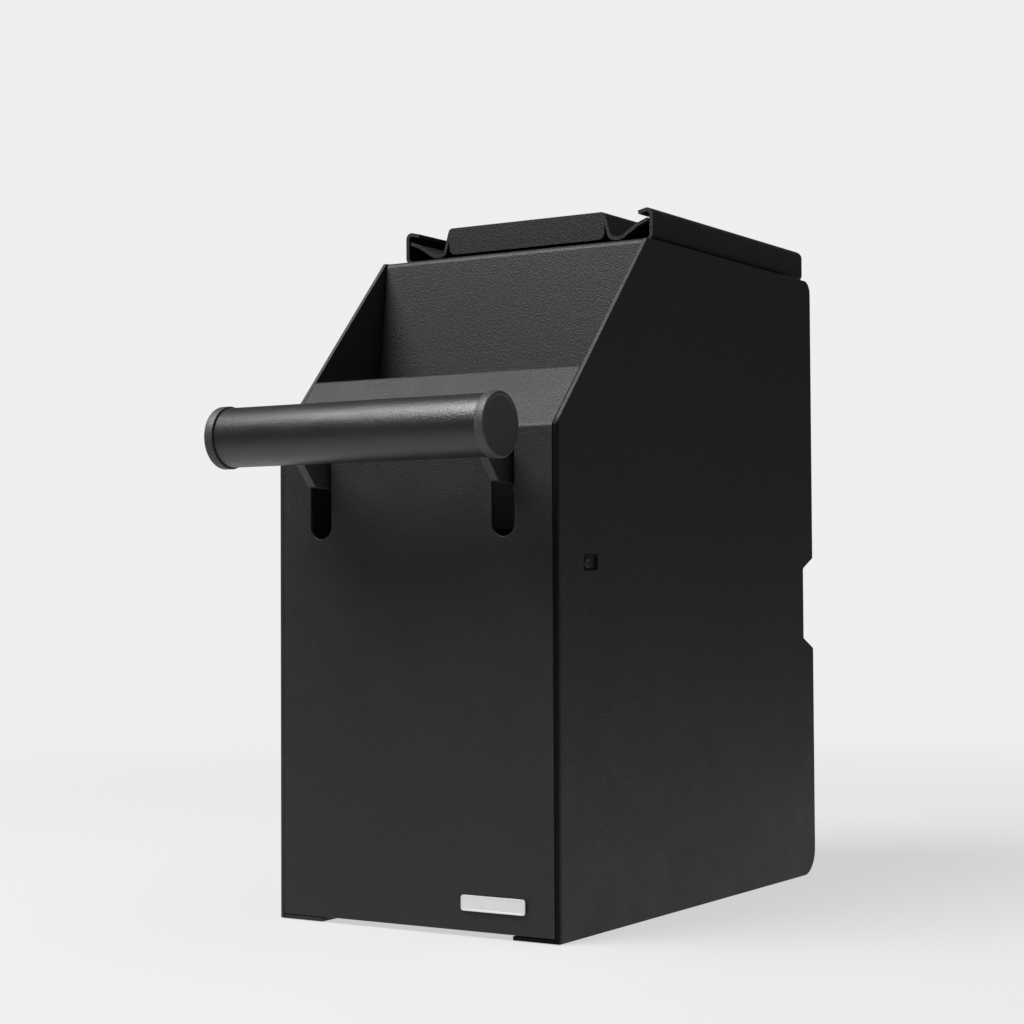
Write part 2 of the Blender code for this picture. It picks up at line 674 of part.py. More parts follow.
def return_spring(name, side, box):
    """Torsion spring round the shaft: one leg holds the arm up, the other leans on the note guide."""
    turns, wire_r, coil_r = 5, 0.6 * MM, 4.6 * MM
    steps_per_turn, leg_steps = 12, 4
    arm_side_x, wall_side_x = 38.0 * MM, 45.7 * MM
    arm_tip_x = abs(ARM_XS[side]) - ARM_THICK / 2 + 0.3 * MM
    arm_leg = Vector((arm_side_x, 9.7 * MM, 121.6 * MM))
    arm_tip = Vector((arm_tip_x, arm_leg.y, arm_leg.z))
    guide_leg = Vector((wall_side_x, GUIDE_Y - GAP - wire_r, 84.0 * MM))
    first_angle, last_angle = math.radians(205), math.radians(205 + 360 * turns + 155)
    count = round((last_angle - first_angle) / (2 * math.pi) * steps_per_turn)
    coil = []
    for index in range(count + 1):
        angle = first_angle + (last_angle - first_angle) * index / count
        x = arm_side_x + (wall_side_x - arm_side_x) * index / count
        coil.append(Vector((x, PIVOT_Y + coil_r * math.cos(angle), PIVOT_Z + coil_r * math.sin(angle))))
    points = [arm_tip]
    points += [arm_leg.lerp(coil[0], step / leg_steps) for step in range(leg_steps)]
    points += coil
    points += [coil[-1].lerp(guide_leg, step / leg_steps) for step in range(1, leg_steps + 1)]
    points = [Vector((side * point.x, point.y, point.z)) for point in points]
    return swept_wire(name, points, wire_r, 6, box, "spring_steel")


# --- rear door and lock -------------------------------------------------------------------------------
def rear_door(door):
    """Folded door: outer sheet, two side flanges and a rolled hinge barrel along the bottom."""
    half, flange_depth = INNER - 0.6 * MM, 7.0 * MM
    barrel_half, neck_half, notch_z = 43.4 * MM, 42.9 * MM, 12.0 * MM
    plate_low = HINGE_Z + 2.0 * MM  # ends inside the barrel's wall
    inner_face = DOOR_Y - SHEET
    outline = [
        (-neck_half, plate_low),
        (neck_half, plate_low),
        (neck_half, notch_z),
        (half, notch_z),
        (half, DOOR_TOP),
        (-half, DOOR_TOP),
        (-half, notch_z),
        (-neck_half, notch_z),
    ]
    plate = prism("rear_door", outline, "Y", inner_face, DOOR_Y, door, "powder_coat")
    flange_low, flange_high = notch_z + 3.0 * MM, DOOR_TOP - 8.0 * MM
    for side in (-1, 1):
        low_x, high_x = sorted((side * (half - SHEET), side * half))
        low = (low_x, inner_face - flange_depth, flange_low)
        high = (high_x, DOOR_Y - SHEET / 2, flange_high)
        weld(plate, block(f"door_flange_{side}", low, high, door))
    centre = (HINGE_Y, HINGE_Z)
    weld(plate, rod("door_barrel", "X", centre, -barrel_half, barrel_half, HINGE_R, door))
    ends = (-barrel_half - OVERSHOOT, barrel_half + OVERSHOOT)
    bore = rod("door_barrel_bore", "X", centre, *ends, PIN_R + PLAY, door, steps=20)
    ends = (inner_face - OVERSHOOT, DOOR_Y + OVERSHOOT)
    lock_hole = rod("door_lock_hole", "Y", (0, LOCK_Z), *ends, LOCK_R + GAP, door)
    return cut(plate, bore, lock_hole)


def lock_barrel(door):
    """Fixed housing of the cam lock, with its flange outside the door."""
    flange_r, chamfer = 9.5 * MM, 0.8 * MM
    flange_back = DOOR_Y + GAP
    bore_r = PLUG_R + PLAY
    profile = [
        (LOCK_INNER_END, bore_r),
        (LOCK_INNER_END, LOCK_R),
        (flange_back, LOCK_R),
        (flange_back, flange_r),
        (LOCK_FACE - chamfer, flange_r),
        (LOCK_FACE, flange_r - chamfer),
        (LOCK_FACE, bore_r),
    ]
    return turned("lock_barrel", profile, "Y", (0, LOCK_Z), door, "nickel", closed=True)


def lock_nut(door):
    """Round nut that clamps the barrel to the door from inside."""
    rear, thick, outer_r = DOOR_Y - SHEET - GAP, 3.2 * MM, 11.0 * MM
    radii = (LOCK_R + GAP, outer_r)
    return ring("lock_nut", "Y", (0, LOCK_Z), rear - thick, rear, *radii, door, "zinc_steel")


def lock_plug(lock):
    """Turning core with a keyway."""
    chamfer = 0.4 * MM
    front = LOCK_FACE + chamfer
    plug = rod("lock_plug", "Y", (0, LOCK_Z), PLUG_BACK, front, PLUG_R, lock, "nickel", chamfer=chamfer)
    key_half, key_reach, key_depth = 0.7 * MM, 3.2 * MM, 6.0 * MM
    keyway = block(
        "keyway",
        (-key_half, front - key_depth, LOCK_Z - key_reach),
        (key_half, front + OVERSHOOT, LOCK_Z + key_reach),
        lock,
    )
    return cut(plug, keyway)


def lock_cam(lock):
    """Cam on the plug's inner end. It points sideways when unlocked and up when locked."""
    half_width, reach = 5.0 * MM, 22.5 * MM
    front = CAM_REAR - CAM_THICK
    outline = arc((0, LOCK_Z), half_width, 90, 270, 8)
    outline += [(reach, LOCK_Z - half_width), (reach, LOCK_Z + half_width)]
    cam = prism("lock_cam", outline, "Y", front, CAM_REAR, lock, "zinc_steel")
    ends = (front - OVERSHOOT, CAM_REAR + OVERSHOOT)
    hole = rod("cam_hole", "Y", (0, LOCK_Z), *ends, CAM_SCREW_R + GAP, lock, steps=16)
    return cut(cam, hole)


def cam_screw(lock):
    """Screw that holds the cam on the plug."""
    head_r, edge_r, head = 4.2 * MM, 3.8 * MM, 2.0 * MM
    seat = CAM_REAR - CAM_THICK - GAP
    profile = [
        (CAM_REAR, 0),
        (CAM_REAR, CAM_SCREW_R),
        (seat, CAM_SCREW_R),
        (seat, head_r),
        (seat - head, edge_r),
        (seat - head, 0),
    ]
    return turned("cam_screw", profile, "Y", (0, LOCK_Z), lock, "zinc_steel", steps=16)


def lock_keeper(box):
    """Angle under the top panel that the locked cam sits in front of."""
    half, flange, low = 12.0 * MM, 13.0 * MM, 200.0 * MM
    plate_y = 153.4 * MM
    face = [(plate_y, low), (plate_y, UNDER_TOP), (plate_y + flange, UNDER_TOP)]
    outline = sheet_outline(face, [BEND], -1)
    return prism("lock_keeper", outline, "X", -half, half, box, "zinc_steel")


# --- mounting rails and bracket -----------------------------------------------------------------------
def rail_tray(box):
    """Tray on the top panel whose edges curl in as rails for the mounting bracket."""
    lip_x, lip_z, corner_z = 42.6 * MM, 224.6 * MM, 225.9 * MM
    face = [
        (-lip_x, lip_z),
        (-TRAY_HALF, corner_z),
        (-TRAY_HALF, TRAY_Z),
        (TRAY_HALF, TRAY_Z),
        (TRAY_HALF, corner_z),
        (lip_x, lip_z),
    ]
    curl_r, corner = 3.0 * MM, 3.0 * MM
    outline = sheet_outline(face, [curl_r, BEND, BEND, curl_r], 1)
    tray = prism("rail_tray", outline, "Y", RAIL_FRONT, RAIL_REAR, box, "powder_coat")
    past_rear, past_top = RAIL_REAR + OVERSHOOT, TOTAL_HEIGHT + OVERSHOOT
    shape = [(RAIL_REAR - corner, past_top), (past_rear, past_top), (past_rear, TOTAL_HEIGHT - corner)]
    shape += arc((RAIL_REAR - corner, TOTAL_HEIGHT - corner), corner, 0, 90, 5)[:-1]
    rounding = prism("tray_corner", shape, "X", -HALF, HALF, box)
    low, high = TRAY_Z - OVERSHOOT, TRAY_Z + SHEET + OVERSHOOT
    return cut(tray, rounding, *tray_hole_cutters("tray", low, high, box))


def mounting_bracket(bracket):
    """Bracket screwed under a counter: a raised middle, and wave-shaped edges that run in the rails."""
    wave = [(30.2, 225.4), (32.7, 217.0), (36.2, 216.8), (41.8, 220.5), (45.8, 222.1)]
    half_face = [(x * MM, z * MM) for x, z in wave]
    face = [(-x, z) for x, z in half_face[::-1]] + half_face
    half_radii, thickness = [1.6 * MM, 1.6 * MM, 3.5 * MM, 3.0 * MM], 1.1 * MM
    radii = half_radii[::-1] + half_radii
    outline = sheet_outline(face, radii, -1, thickness)
    plate = prism("mounting_bracket", outline, "Y", RAIL_FRONT, BRACKET_REAR, bracket, "powder_coat")
    tab_half, tab_low, tab_top, corner = 30.2 * MM, 216.4 * MM, TOTAL_HEIGHT - 0.8 * MM, 2.4 * MM
    tab = [(tab_half, tab_top), (-tab_half, tab_top)]
    tab += arc((-tab_half + corner, tab_low + corner), corner, 180, 270, 5)
    tab += arc((tab_half - corner, tab_low + corner), corner, 270, 360, 5)
    weld(plate, prism("bracket_tab", tab, "Y", RAIL_FRONT, RAIL_FRONT + SHEET, bracket))
    ends = (TOTAL_HEIGHT - thickness - OVERSHOOT, TOTAL_HEIGHT + OVERSHOOT)
    for number, centre in enumerate(BRACKET_HOLES):
        cut(plate, rod(f"bracket_hole_{number}", "Z", centre, *ends, BRACKET_HOLE_R, bracket, steps=16))
    return plate


def tray_rivets(box):
    """Rivets that hold the rail tray to the top panel."""
    upper = TRAY_Z + SHEET + GAP
    shank_r, head_r, edge_r, head = 1.5 * MM, 2.9 * MM, 2.1 * MM, 1.3 * MM
    flat_head = 0.4 * MM  # the bracket's tab passes over it
    profile = [
        (UNDER_TOP - head, 0),
        (UNDER_TOP - head, edge_r),
        (UNDER_TOP, head_r),
        (UNDER_TOP, shank_r),
        (upper, shank_r),
        (upper, head_r),
        (upper + flat_head, edge_r),
        (upper + flat_head, 0),
    ]
    for number, centre in enumerate(TRAY_RIVETS, 1):
        turned(f"tray_rivet_{number}", profile, "Z", centre, box, "zinc_steel", steps=12)


def clamp_screw(box):
    """Hand screw inside the box that clamps the bracket once the box hangs on it."""
    tip = TRAY_Z + SHEET
    knob_low, knob_high = 202.0 * MM, 208.6 * MM
    shank_r, knob_r, chamfer = 2.4 * MM, 8.0 * MM, 1.0 * MM
    profile = [
        (knob_low, 0),
        (knob_low, knob_r - chamfer),
        (knob_low + chamfer, knob_r),
        (knob_high - chamfer, knob_r),
        (knob_high, knob_r - chamfer),
        (knob_high, shank_r),
        (tip, shank_r),
        (tip, 0),
    ]
    return turned("bracket_clamp_screw", profile, "Z", (CLAMP_X, CLAMP_Y), box, "black_plastic", steps=20)


def clamp_nut(box):
    """Weld nut under the top panel that the hand screw runs in."""
    thick, outer_r = 3.2 * MM, 5.2 * MM
    ends, radii = (UNDER_TOP - thick, UNDER_TOP), (CLAMP_HOLE_R, outer_r)
    return ring("bracket_clamp_nut", "Z", (CLAMP_X, CLAMP_Y), *ends, *radii, box, "zinc_steel", steps=12)


def build():
    clear_scene()
    box = empty("box_origin", location=(0, FRONT_FACE_Y, 0))
    lever = empty("lever_axis", box, (0, PIVOT_Y, PIVOT_Z))
    flap = empty("flap_axis", box, (0, FLAP_PIVOT_Y, FLAP_Z))
    door = empty("door_axis", box, (0, HINGE_Y, HINGE_Z))
    lock = empty("lock_axis", box, (0, DOOR_Y, LOCK_Z))
    bracket = empty("bracket_slide", box, (0, RAIL_FRONT, TOTAL_HEIGHT))

    for name, side in (("left", -1), ("right", 1)):
        side_panel(f"{name}_side_panel", side, box)
        note_guide(f"{name}_note_guide", side, box)
        flap_stud(f"{name}_flap_stud", side, box)
        pivot_bush(f"{name}_pivot_bush", side, box)
        lever_arm(f"{name}_lever_arm", side, lever)
        grip_cap(f"{name}_grip_cap", side, lever)
        return_spring(f"{name}_return_spring", side, box)
    front_panel(box)
    top_panel(box)
    floor_panel(box)
    floor_rivets(box)
    label_plate(box)
    retaining_frame(box)
    stack_flap(box, flap)

    grip_tube(lever)
    grip, half = (GRIP_Y, GRIP_Z), GRIP_HALF - CAP_RIM
    rod("grip_crossbar", "X", grip, -half, half, CROSSBAR_R, lever, "zinc_steel")
    pivot_shaft(lever)
    pusher_plate(lever)
    pusher_pads(lever)
    shaft_clips(lever)

    rear_door(door)
    hinge, half, chamfer = (HINGE_Y, HINGE_Z), 47.0 * MM, 0.3 * MM
    rod("door_hinge_pin", "X", hinge, -half, half, PIN_R, box, "zinc_steel", chamfer)
    lock_barrel(door)
    lock_nut(door)
    lock_plug(lock)
    lock_cam(lock)
    cam_screw(lock)
    lock_keeper(box)

    rail_tray(box)
    tray_rivets(box)
    clamp_screw(box)
    clamp_nut(box)
    mounting_bracket(bracket)


build()
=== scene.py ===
"""Looks for the under-counter cash deposit box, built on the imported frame.

Lengths are millimetres in the box's own frame: X right, Y back from the front panel's face, Z up.
"""

import math

import bmesh
import bpy
from mathutils import Matrix, Vector

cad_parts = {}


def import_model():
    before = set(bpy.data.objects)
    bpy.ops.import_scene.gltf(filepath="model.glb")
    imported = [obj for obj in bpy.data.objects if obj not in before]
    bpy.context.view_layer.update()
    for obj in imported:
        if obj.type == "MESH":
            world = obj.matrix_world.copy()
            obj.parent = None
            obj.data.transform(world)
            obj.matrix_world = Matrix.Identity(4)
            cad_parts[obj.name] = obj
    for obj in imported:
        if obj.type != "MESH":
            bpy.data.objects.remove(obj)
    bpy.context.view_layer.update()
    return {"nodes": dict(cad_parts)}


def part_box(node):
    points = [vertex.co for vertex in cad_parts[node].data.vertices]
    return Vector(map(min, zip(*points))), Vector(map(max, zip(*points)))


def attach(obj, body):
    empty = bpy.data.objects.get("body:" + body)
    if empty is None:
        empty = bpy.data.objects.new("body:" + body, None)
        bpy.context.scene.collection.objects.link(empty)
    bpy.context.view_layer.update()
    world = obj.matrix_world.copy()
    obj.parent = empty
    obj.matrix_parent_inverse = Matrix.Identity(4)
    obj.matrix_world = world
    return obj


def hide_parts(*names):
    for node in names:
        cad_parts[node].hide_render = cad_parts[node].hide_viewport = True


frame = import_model()

MM = 0.001
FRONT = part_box("front_panel")[0][1]  # world Y of the front panel's face, in metres
SIDES = (("left", -1), ("right", 1))

# sizes that the pieces share with the frame
HALF, SHEET, GAP, BEND = 51.0, 1.2, 0.3, 2.0
INNER = HALF - SHEET - GAP
DEPTH, BODY_TOP, FACE_TOP, SLOPE_DEPTH, TOP = 180.7, 213.9, 151.7, 56.8, 225.4
NOTCH_Y, NOTCH_OUTER, NOTCH_INNER = 172.5, (80.9, 113.5), (84.7, 109.7)
FOOT_WIDTH, FOOT_REAR = 16.0, 168.0
FLOOR_RIVET_X, FLOOR_RIVET_YS = 42.5, (18.0, 90.0, 148.0)
PIVOT, SHAFT_R, JOURNAL_R = (19.2, 111.2), 3.0, 1.8
BUSH_HOLE, BUSH_HOLE_HALF = (19.8, 111.2), (4.3, 2.5)
GRIP, GRIP_R, CAP_R, GRIP_HALF, CAP_RIM = (-28.8, 149.8), 9.1, 9.6, 50.3, 3.2
ARM_XS, ARM_HALF, ARM_BORE = {-1: -35.0, 1: 32.4}, 1.5, 3.3
SLOT_R, SLOT_HIGH, SLOT_LOW = 4.0, 145.2, 123.0
DOOR_Y, HINGE, LOCK_Z, LOCK_HOLE = 171.5, (172.5, 6.4), 188.0, 8.0
RAIL_FRONT, RAIL_REAR, BRACKET_REAR, TRAY_HALF = 66.0, 180.5, 179.0, 48.0
TRAY_Z = BODY_TOP + GAP
TRAY_RIVET_XS, TRAY_RIVET_YS = (-12.0, 12.0), (90.0, 142.0)
BRACKET_HOLE_XS, BRACKET_HOLE_YS = (-18.0, 18.0), (84.0, 162.0)
CLAMP_SCREW = (36.0, 120.0)

EDGE = 0.22  # rounding that the coat leaves on a cut edge
SIDE_EDGE = 0.56  # the side sheets' edges are rounder
HIDDEN_JOINT = 0.05  # what is left of GAP where a joint is too tight to show
BEND_STEPS = 8


# --- geometry tools -----------------------------------------------------------------------------------
def point(x, y, z):
    return Vector((x * MM, FRONT + y * MM, z * MM))


def place(axis, u, v, along):
    """A point from a position across an axis and one along it."""
    if axis == "X":
        return point(along, u, v)
    if axis == "Y":
        return point(u, along, v)
    return point(u, v, along)


def arc(centre, radius, start, stop, steps):
    turns = [math.radians(start + (stop - start) * i / steps) for i in range(steps + 1)]
    return [(centre[0] + radius * math.cos(t), centre[1] + radius * math.sin(t)) for t in turns]


def corner_arc(before, corner, after, radius, steps):
    """Points that round one corner of a path."""
    back, ahead = (before - corner).normalized(), (after - corner).normalized()
    half = back.angle(ahead) / 2
    reach = min(radius / math.tan(half), (before - corner).length * 0.49, (after - corner).length * 0.49)
    radius = reach * math.tan(half)
    centre = corner + (back + ahead).normalized() * (radius / math.sin(half))
    first = corner + back * reach - centre
    turn = (corner + ahead * reach - centre).angle_signed(first)
    return [centre + Matrix.Rotation(turn * i / steps, 2) @ first for i in range(steps + 1)]


def fillet(points, radii):
    """An open path with its inner corners rounded."""
    points = [Vector(p) for p in points]
    path = [points[0]]
    for i in range(1, len(points) - 1):
        path += corner_arc(points[i - 1], points[i], points[i + 1], radii[i - 1], BEND_STEPS)
    return path + [points[-1]]


def rounded(points, radius, steps=4):
    """A closed outline with every corner rounded; radius is one number or one for each corner."""
    points = [Vector(p) for p in points]
    radii = radius if isinstance(radius, (list, tuple)) else [radius] * len(points)
    outline = []
    for i, corner in enumerate(points):
        if radii[i] == 0:
            outline.append(corner)
        else:
            outline += corner_arc(points[i - 1], corner, points[(i + 1) % len(points)], radii[i], steps)
    return [tuple(p) for p in outline]


def rounded_path(points, before, after, radius, steps=5):
    """The points with their corners rounded, without the two ends that they join."""
    path = [Vector(before)] + [Vector(p) for p in points] + [Vector(after)]
    made = []
    for i in range(1, len(path) - 1):
        made += [tuple(p) for p in corner_arc(path[i - 1], path[i], path[i + 1], radius, steps)]
    return made


def rectangle(centre, half):
    signs = ((-1, -1), (1, -1), (1, 1), (-1, 1))
    return [(centre[0] + sx * half[0], centre[1] + sy * half[1]) for sx, sy in signs]


def sheet_outline(points, radii, side, thickness=SHEET):
    """A bent sheet's closed cross-section from the path of its outer face."""
    face = fillet(points, radii)
    inner = []
    for i, p in enumerate(face):
        before = (p - face[i - 1]).normalized() if i else None
        after = (face[i + 1] - p).normalized() if i + 1 < len(face) else None
        before = before or after
        after = after or before
        normal = (Vector((-before.y, before.x)) + Vector((-after.y, after.x))).normalized()
        stretch = 1.0 / max(0.3, normal.dot(Vector((-before.y, before.x))))
        inner.append(p + normal * side * thickness * stretch)
    return [tuple(p) for p in face + inner[::-1]]


def make(name, data):
    bmesh.ops.recalc_face_normals(data, faces=data.faces[:])
    mesh = bpy.data.meshes.new(name)
    data.to_mesh(mesh)
    data.free()
    made = bpy.data.objects.new(name, mesh)
    bpy.context.scene.collection.objects.link(made)
    return made


def prism(name, outline, axis, low, high):
    """A closed outline across an axis, drawn out along it."""
    data = bmesh.new()
    rings = [[data.verts.new(place(axis, u, v, along)) for u, v in outline] for along in (low, high)]
    data.faces.new(rings[0])
    data.faces.new(rings[1][::-1])
    for i in range(len(outline)):
        j = (i + 1) % len(outline)
        data.faces.new((rings[0][i], rings[1][i], rings[1][j], rings[0][j]))
    return make(name, data)


def block(name, low, high):
    outline = [(low[0], low[1]), (high[0], low[1]), (high[0], high[1]), (low[0], high[1])]
    return prism(name, outline, "Z", low[2], high[2])


def lathe(name, profile, axis, centre, steps, closed=False, flute=None):
    """A turned piece from (along, radius) pairs; flute(angle, radius) may change the radius."""
    data = bmesh.new()
    rings = []
    for along, radius in profile:
        if radius == 0:
            rings.append([data.verts.new(place(axis, centre[0], centre[1], along))])
            continue
        ring = []
        for i in range(steps):
            angle = 2 * math.pi * i / steps
            r = flute(angle, radius) if flute else radius
            u, v = centre[0] + r * math.cos(angle), centre[1] + r * math.sin(angle)
            ring.append(data.verts.new(place(axis, u, v, along)))
        rings.append(ring)
    pairs = list(zip(rings, rings[1:]))
    if closed:
        pairs.append((rings[-1], rings[0]))
    for first, second in pairs:
        for i in range(steps):
            j = (i + 1) % steps
            corners = [first[i % len(first)], first[j % len(first)]]
            corners += [second[j % len(second)], second[i % len(second)]]
            corners = list(dict.fromkeys(corners))
            if len(corners) > 2:
                data.faces.new(corners)
    return make(name, data)


def rod(name, axis, centre, low, high, radius, steps=48):
    return lathe(name, [(low, 0), (low, radius), (high, radius), (high, 0)], axis, centre, steps)


def wire(name, points, radius, sides=10):
    """A round wire along a list of points."""
    data = bmesh.new()
    points = [point(*p) for p in points]
    rings, normal = [], None
    for i, p in enumerate(points):
        ahead = (points[min(i + 1, len(points) - 1)] - points[max(i - 1, 0)]).normalized()
        normal = normal or ahead.orthogonal().normalized()
        normal = (normal - ahead * normal.dot(ahead)).normalized()
        across = ahead.cross(normal)
        ring = []
        for k in range(sides):
            turn = 2 * math.pi * k / sides
            out = normal * math.cos(turn) + across * math.sin(turn)
            ring.append(data.verts.new(p + out * radius * MM))
        rings.append(ring)
    for first, second in zip(rings, rings[1:]):
        for k in range(sides):
            j = (k + 1) % sides
            data.faces.new((first[k], first[j], second[j], second[k]))
    data.faces.new(rings[0][::-1])
    data.faces.new(rings[-1])
    return make(name, data)


def bake(made):
    """Applies the modifiers to the mesh."""
    graph = bpy.context.evaluated_depsgraph_get()
    mesh = bpy.data.meshes.new_from_object(made.evaluated_get(graph))
    made.modifiers.clear()
    old = made.data
    made.data = mesh
    bpy.data.meshes.remove(old)
    return made


def combine(target, others, operation):
    for other in others:
        change = target.modifiers.new(other.name, "BOOLEAN")
        change.operation, change.solver, change.object = operation, "EXACT", other
        bake(target)
        bpy.data.objects.remove(other, do_unlink=True)
    return target


def cut(target, *others):
    return combine(target, others, "DIFFERENCE")


def weld(target, *others):
    return combine(target, others, "UNION")


def soften(made, width=EDGE, segments=2, angle=32):
    """Rounds the edges slightly and keeps the flat faces flat."""
    bevel = made.modifiers.new("edges", "BEVEL")
    bevel.width, bevel.segments, bevel.limit_method = width * MM, segments, "ANGLE"
    bevel.angle_limit, bevel.miter_outer = math.radians(angle), "MITER_ARC"
    made.data.shade_smooth()
    made.modifiers.new("normals", "WEIGHTED_NORMAL").weight = 90
    return made


def turned_finish(made, degrees=35):
    made.data.shade_smooth()
    made.data.set_sharp_from_angle(angle=math.radians(degrees))
    return made


# --- materials ----------------------------------------------------------------------------------------
class Nodes:
    """Small helper that adds and links shader nodes."""

    def __init__(self, name):
        self.material = bpy.data.materials.new(name)
        self.material.use_nodes = True
        self.tree = self.material.node_tree
        self.shader = self.tree.nodes["Principled BSDF"]
        self.place = self.add("ShaderNodeTexCoord").outputs["Object"]

    def add(self, kind, **values):
        node = self.tree.nodes.new(kind)
        for key, value in values.items():
            setattr(node, key, value)
        return node

    def link(self, start, end):
        self.tree.links.new(start, end)

    def noise(self, scale, detail, rough, stretch=None):
        node = self.add("ShaderNodeTexNoise")
        node.inputs["Scale"].default_value = scale
        node.inputs["Detail"].default_value = detail
        node.inputs["Roughness"].default_value = rough
        source = self.place
        if stretch:
            mapping = self.add("ShaderNodeMapping")
            mapping.inputs["Scale"].default_value = stretch
            self.link(source, mapping.inputs["Vector"])
            source = mapping.outputs["Vector"]
        self.link(source, node.inputs["Vector"])
        return node.outputs["Fac"]

    def span(self, value, low, high, to_low, to_high):
        node = self.add("ShaderNodeMapRange")
        self.link(value, node.inputs["Value"])
        for key, number in (("From Min", low), ("From Max", high), ("To Min", to_low), ("To Max", to_high)):
            node.inputs[key].default_value = number
        return node.outputs["Result"]

    def math(self, operation, first, second):
        node = self.add("ShaderNodeMath", operation=operation)
        for socket, value in zip(node.inputs, (first, second)):
            if isinstance(value, (int, float)):
                socket.default_value = value
            else:
                self.link(value, socket)
        return node.outputs["Value"]

    def blend(self, factor, first, second):
        """Mixes a colour or a socket with a second colour."""
        node = self.add("ShaderNodeMix", data_type="RGBA")
        self.link(factor, node.inputs["Factor"])
        colour_a, colour_b, result = node.inputs[6], node.inputs[7], node.outputs[2]
        if isinstance(first, tuple):
            colour_a.default_value = (*first, 1.0)
        else:
            self.link(first, colour_a)
        colour_b.default_value = (*second, 1.0)
        return result

    def bump(self, height, distance, after=None):
        node = self.add("ShaderNodeBump")
        node.inputs["Distance"].default_value = distance
        self.link(height, node.inputs["Height"])
        if after:
            self.link(after, node.inputs["Normal"])
        return node.outputs["Normal"]

    def edge(self, radius):
        """1 at a convex or concave edge, 0 on a flat face."""
        bevel = self.add("ShaderNodeBevel", samples=4)
        bevel.inputs["Radius"].default_value = radius
        geometry = self.add("ShaderNodeNewGeometry")
        dot = self.add("ShaderNodeVectorMath", operation="DOT_PRODUCT")
        self.link(bevel.outputs["Normal"], dot.inputs[0])
        self.link(geometry.outputs["Normal"], dot.inputs[1])
        return self.span(dot.outputs["Value"], 0.995, 0.90, 0.0, 1.0)

    def done(self, colour, roughness, normal, metallic=0.0, specular=0.5):
        inputs = self.shader.inputs
        self.link(colour, inputs["Base Color"])
        self.link(roughness, inputs["Roughness"])
        self.link(normal, inputs["Normal"])
        inputs["Metallic"].default_value = metallic
        inputs["Specular IOR Level"].default_value = specular
        return self.material


RUBBED_COAT = (0.07, 0.072, 0.073)


def coat_material(name, dark, light, rough, grain, depth, specular, wear, painted_front_shade=False):
    """Fine-textured black coat: grain, faint clouding, painted shade in the grain's hollows, tiny specks
    painted lighter as glints, and rubbed edges.

    The last argument paints shade along the casing's upright front corner: a darker colour and a lower
    specular level, so less shine, there.
    """
    n = Nodes(name)
    peel = n.noise(grain, 2.0, 0.6)
    fine = n.noise(grain * 1.7, 1.0, 0.5)
    cloud = n.noise(14.0, 2.0, 0.5)
    colour = n.blend(n.span(cloud, 0.35, 0.65, 0.0, 1.0), dark, light)
    # painted shade: the grain's hollows, where the bump is low, are darker
    hollow_shade = n.span(peel, 0.32, 0.5, 0.5, 0.0)
    colour = n.blend(hollow_shade, colour, tuple(c * 0.45 for c in dark))
    # painted highlight: tiny specks made lighter, as glints
    painted_glint_speck = n.span(fine, 0.6, 0.72, 0.0, 0.6)
    colour = n.blend(painted_glint_speck, colour, tuple(c * 2.6 for c in light))
    patches = n.span(n.noise(160.0, 4.0, 0.65), 0.42, 0.62, 0.0, wear)
    rubbed = n.math("MULTIPLY", n.edge(0.5 * MM), patches)
    colour = n.blend(rubbed, colour, RUBBED_COAT)
    roughness = n.span(n.noise(70.0, 4.0, 0.6), 0.3, 0.7, rough - 0.04, rough + 0.05)
    roughness = n.math("SUBTRACT", roughness, n.math("MULTIPLY", rubbed, 0.15))
    normal = n.bump(peel, depth)
    normal = n.bump(fine, depth * 0.5, after=normal)
    # painted shade: darker colour and less specular shine in a strip just behind the front face, along the
    # upright front corner
    if painted_front_shade:
        split = n.add("ShaderNodeSeparateXYZ")
        n.link(n.place, split.inputs[0])
        start, stop = FRONT + 0.4 * MM, FRONT + 2.4 * MM
        shade = n.span(split.outputs["Y"], start, stop, 1.0, 0.0)
        colour = n.blend(shade, colour, tuple(c * 0.3 for c in dark))
        painted_shade_specular = n.span(shade, 0.0, 1.0, specular, 0.06)
        n.link(painted_shade_specular, n.shader.inputs["Specular IOR Level"])
    return n.done(colour, roughness, normal, specular=specular)


def metal_material(name, dark, light, rough, stretch, depth, metallic=1.0):
    """Bare or plated metal with drawn lines, clouding and fine scratches."""
    n = Nodes(name)
    lines = n.noise(900.0, 3.0, 0.6, stretch)
    cloud = n.noise(45.0, 4.0, 0.6)
    colour = n.blend(n.span(cloud, 0.3, 0.7, 0.0, 1.0), dark, light)
    across = n.noise(1500.0, 2.0, 0.5, (stretch[1], stretch[0], stretch[2]))
    scratch = n.span(across, 0.68, 0.74, 0.0, 0.5)
    colour = n.blend(scratch, colour, tuple(min(1.0, c * 1.3) for c in light))
    roughness = n.span(cloud, 0.3, 0.7, rough - 0.06, rough + 0.1)
    return n.done(colour, roughness, n.bump(lines, depth), metallic=metallic)


def plastic_material(name, dark, light, rough, grain, depth, specular=0.5):
    """Moulded plastic or rubber with a fine grain and faint clouding."""
    n = Nodes(name)
    spark = n.noise(grain, 2.0, 0.6)
    cloud = n.noise(60.0, 3.0, 0.6)
    colour = n.blend(n.span(cloud, 0.3, 0.7, 0.0, 1.0), dark, light)
    roughness = n.span(n.noise(150.0, 4.0, 0.6), 0.3, 0.7, rough - 0.05, rough + 0.07)
    return n.done(colour, roughness, n.bump(spark, depth), specular=specular)


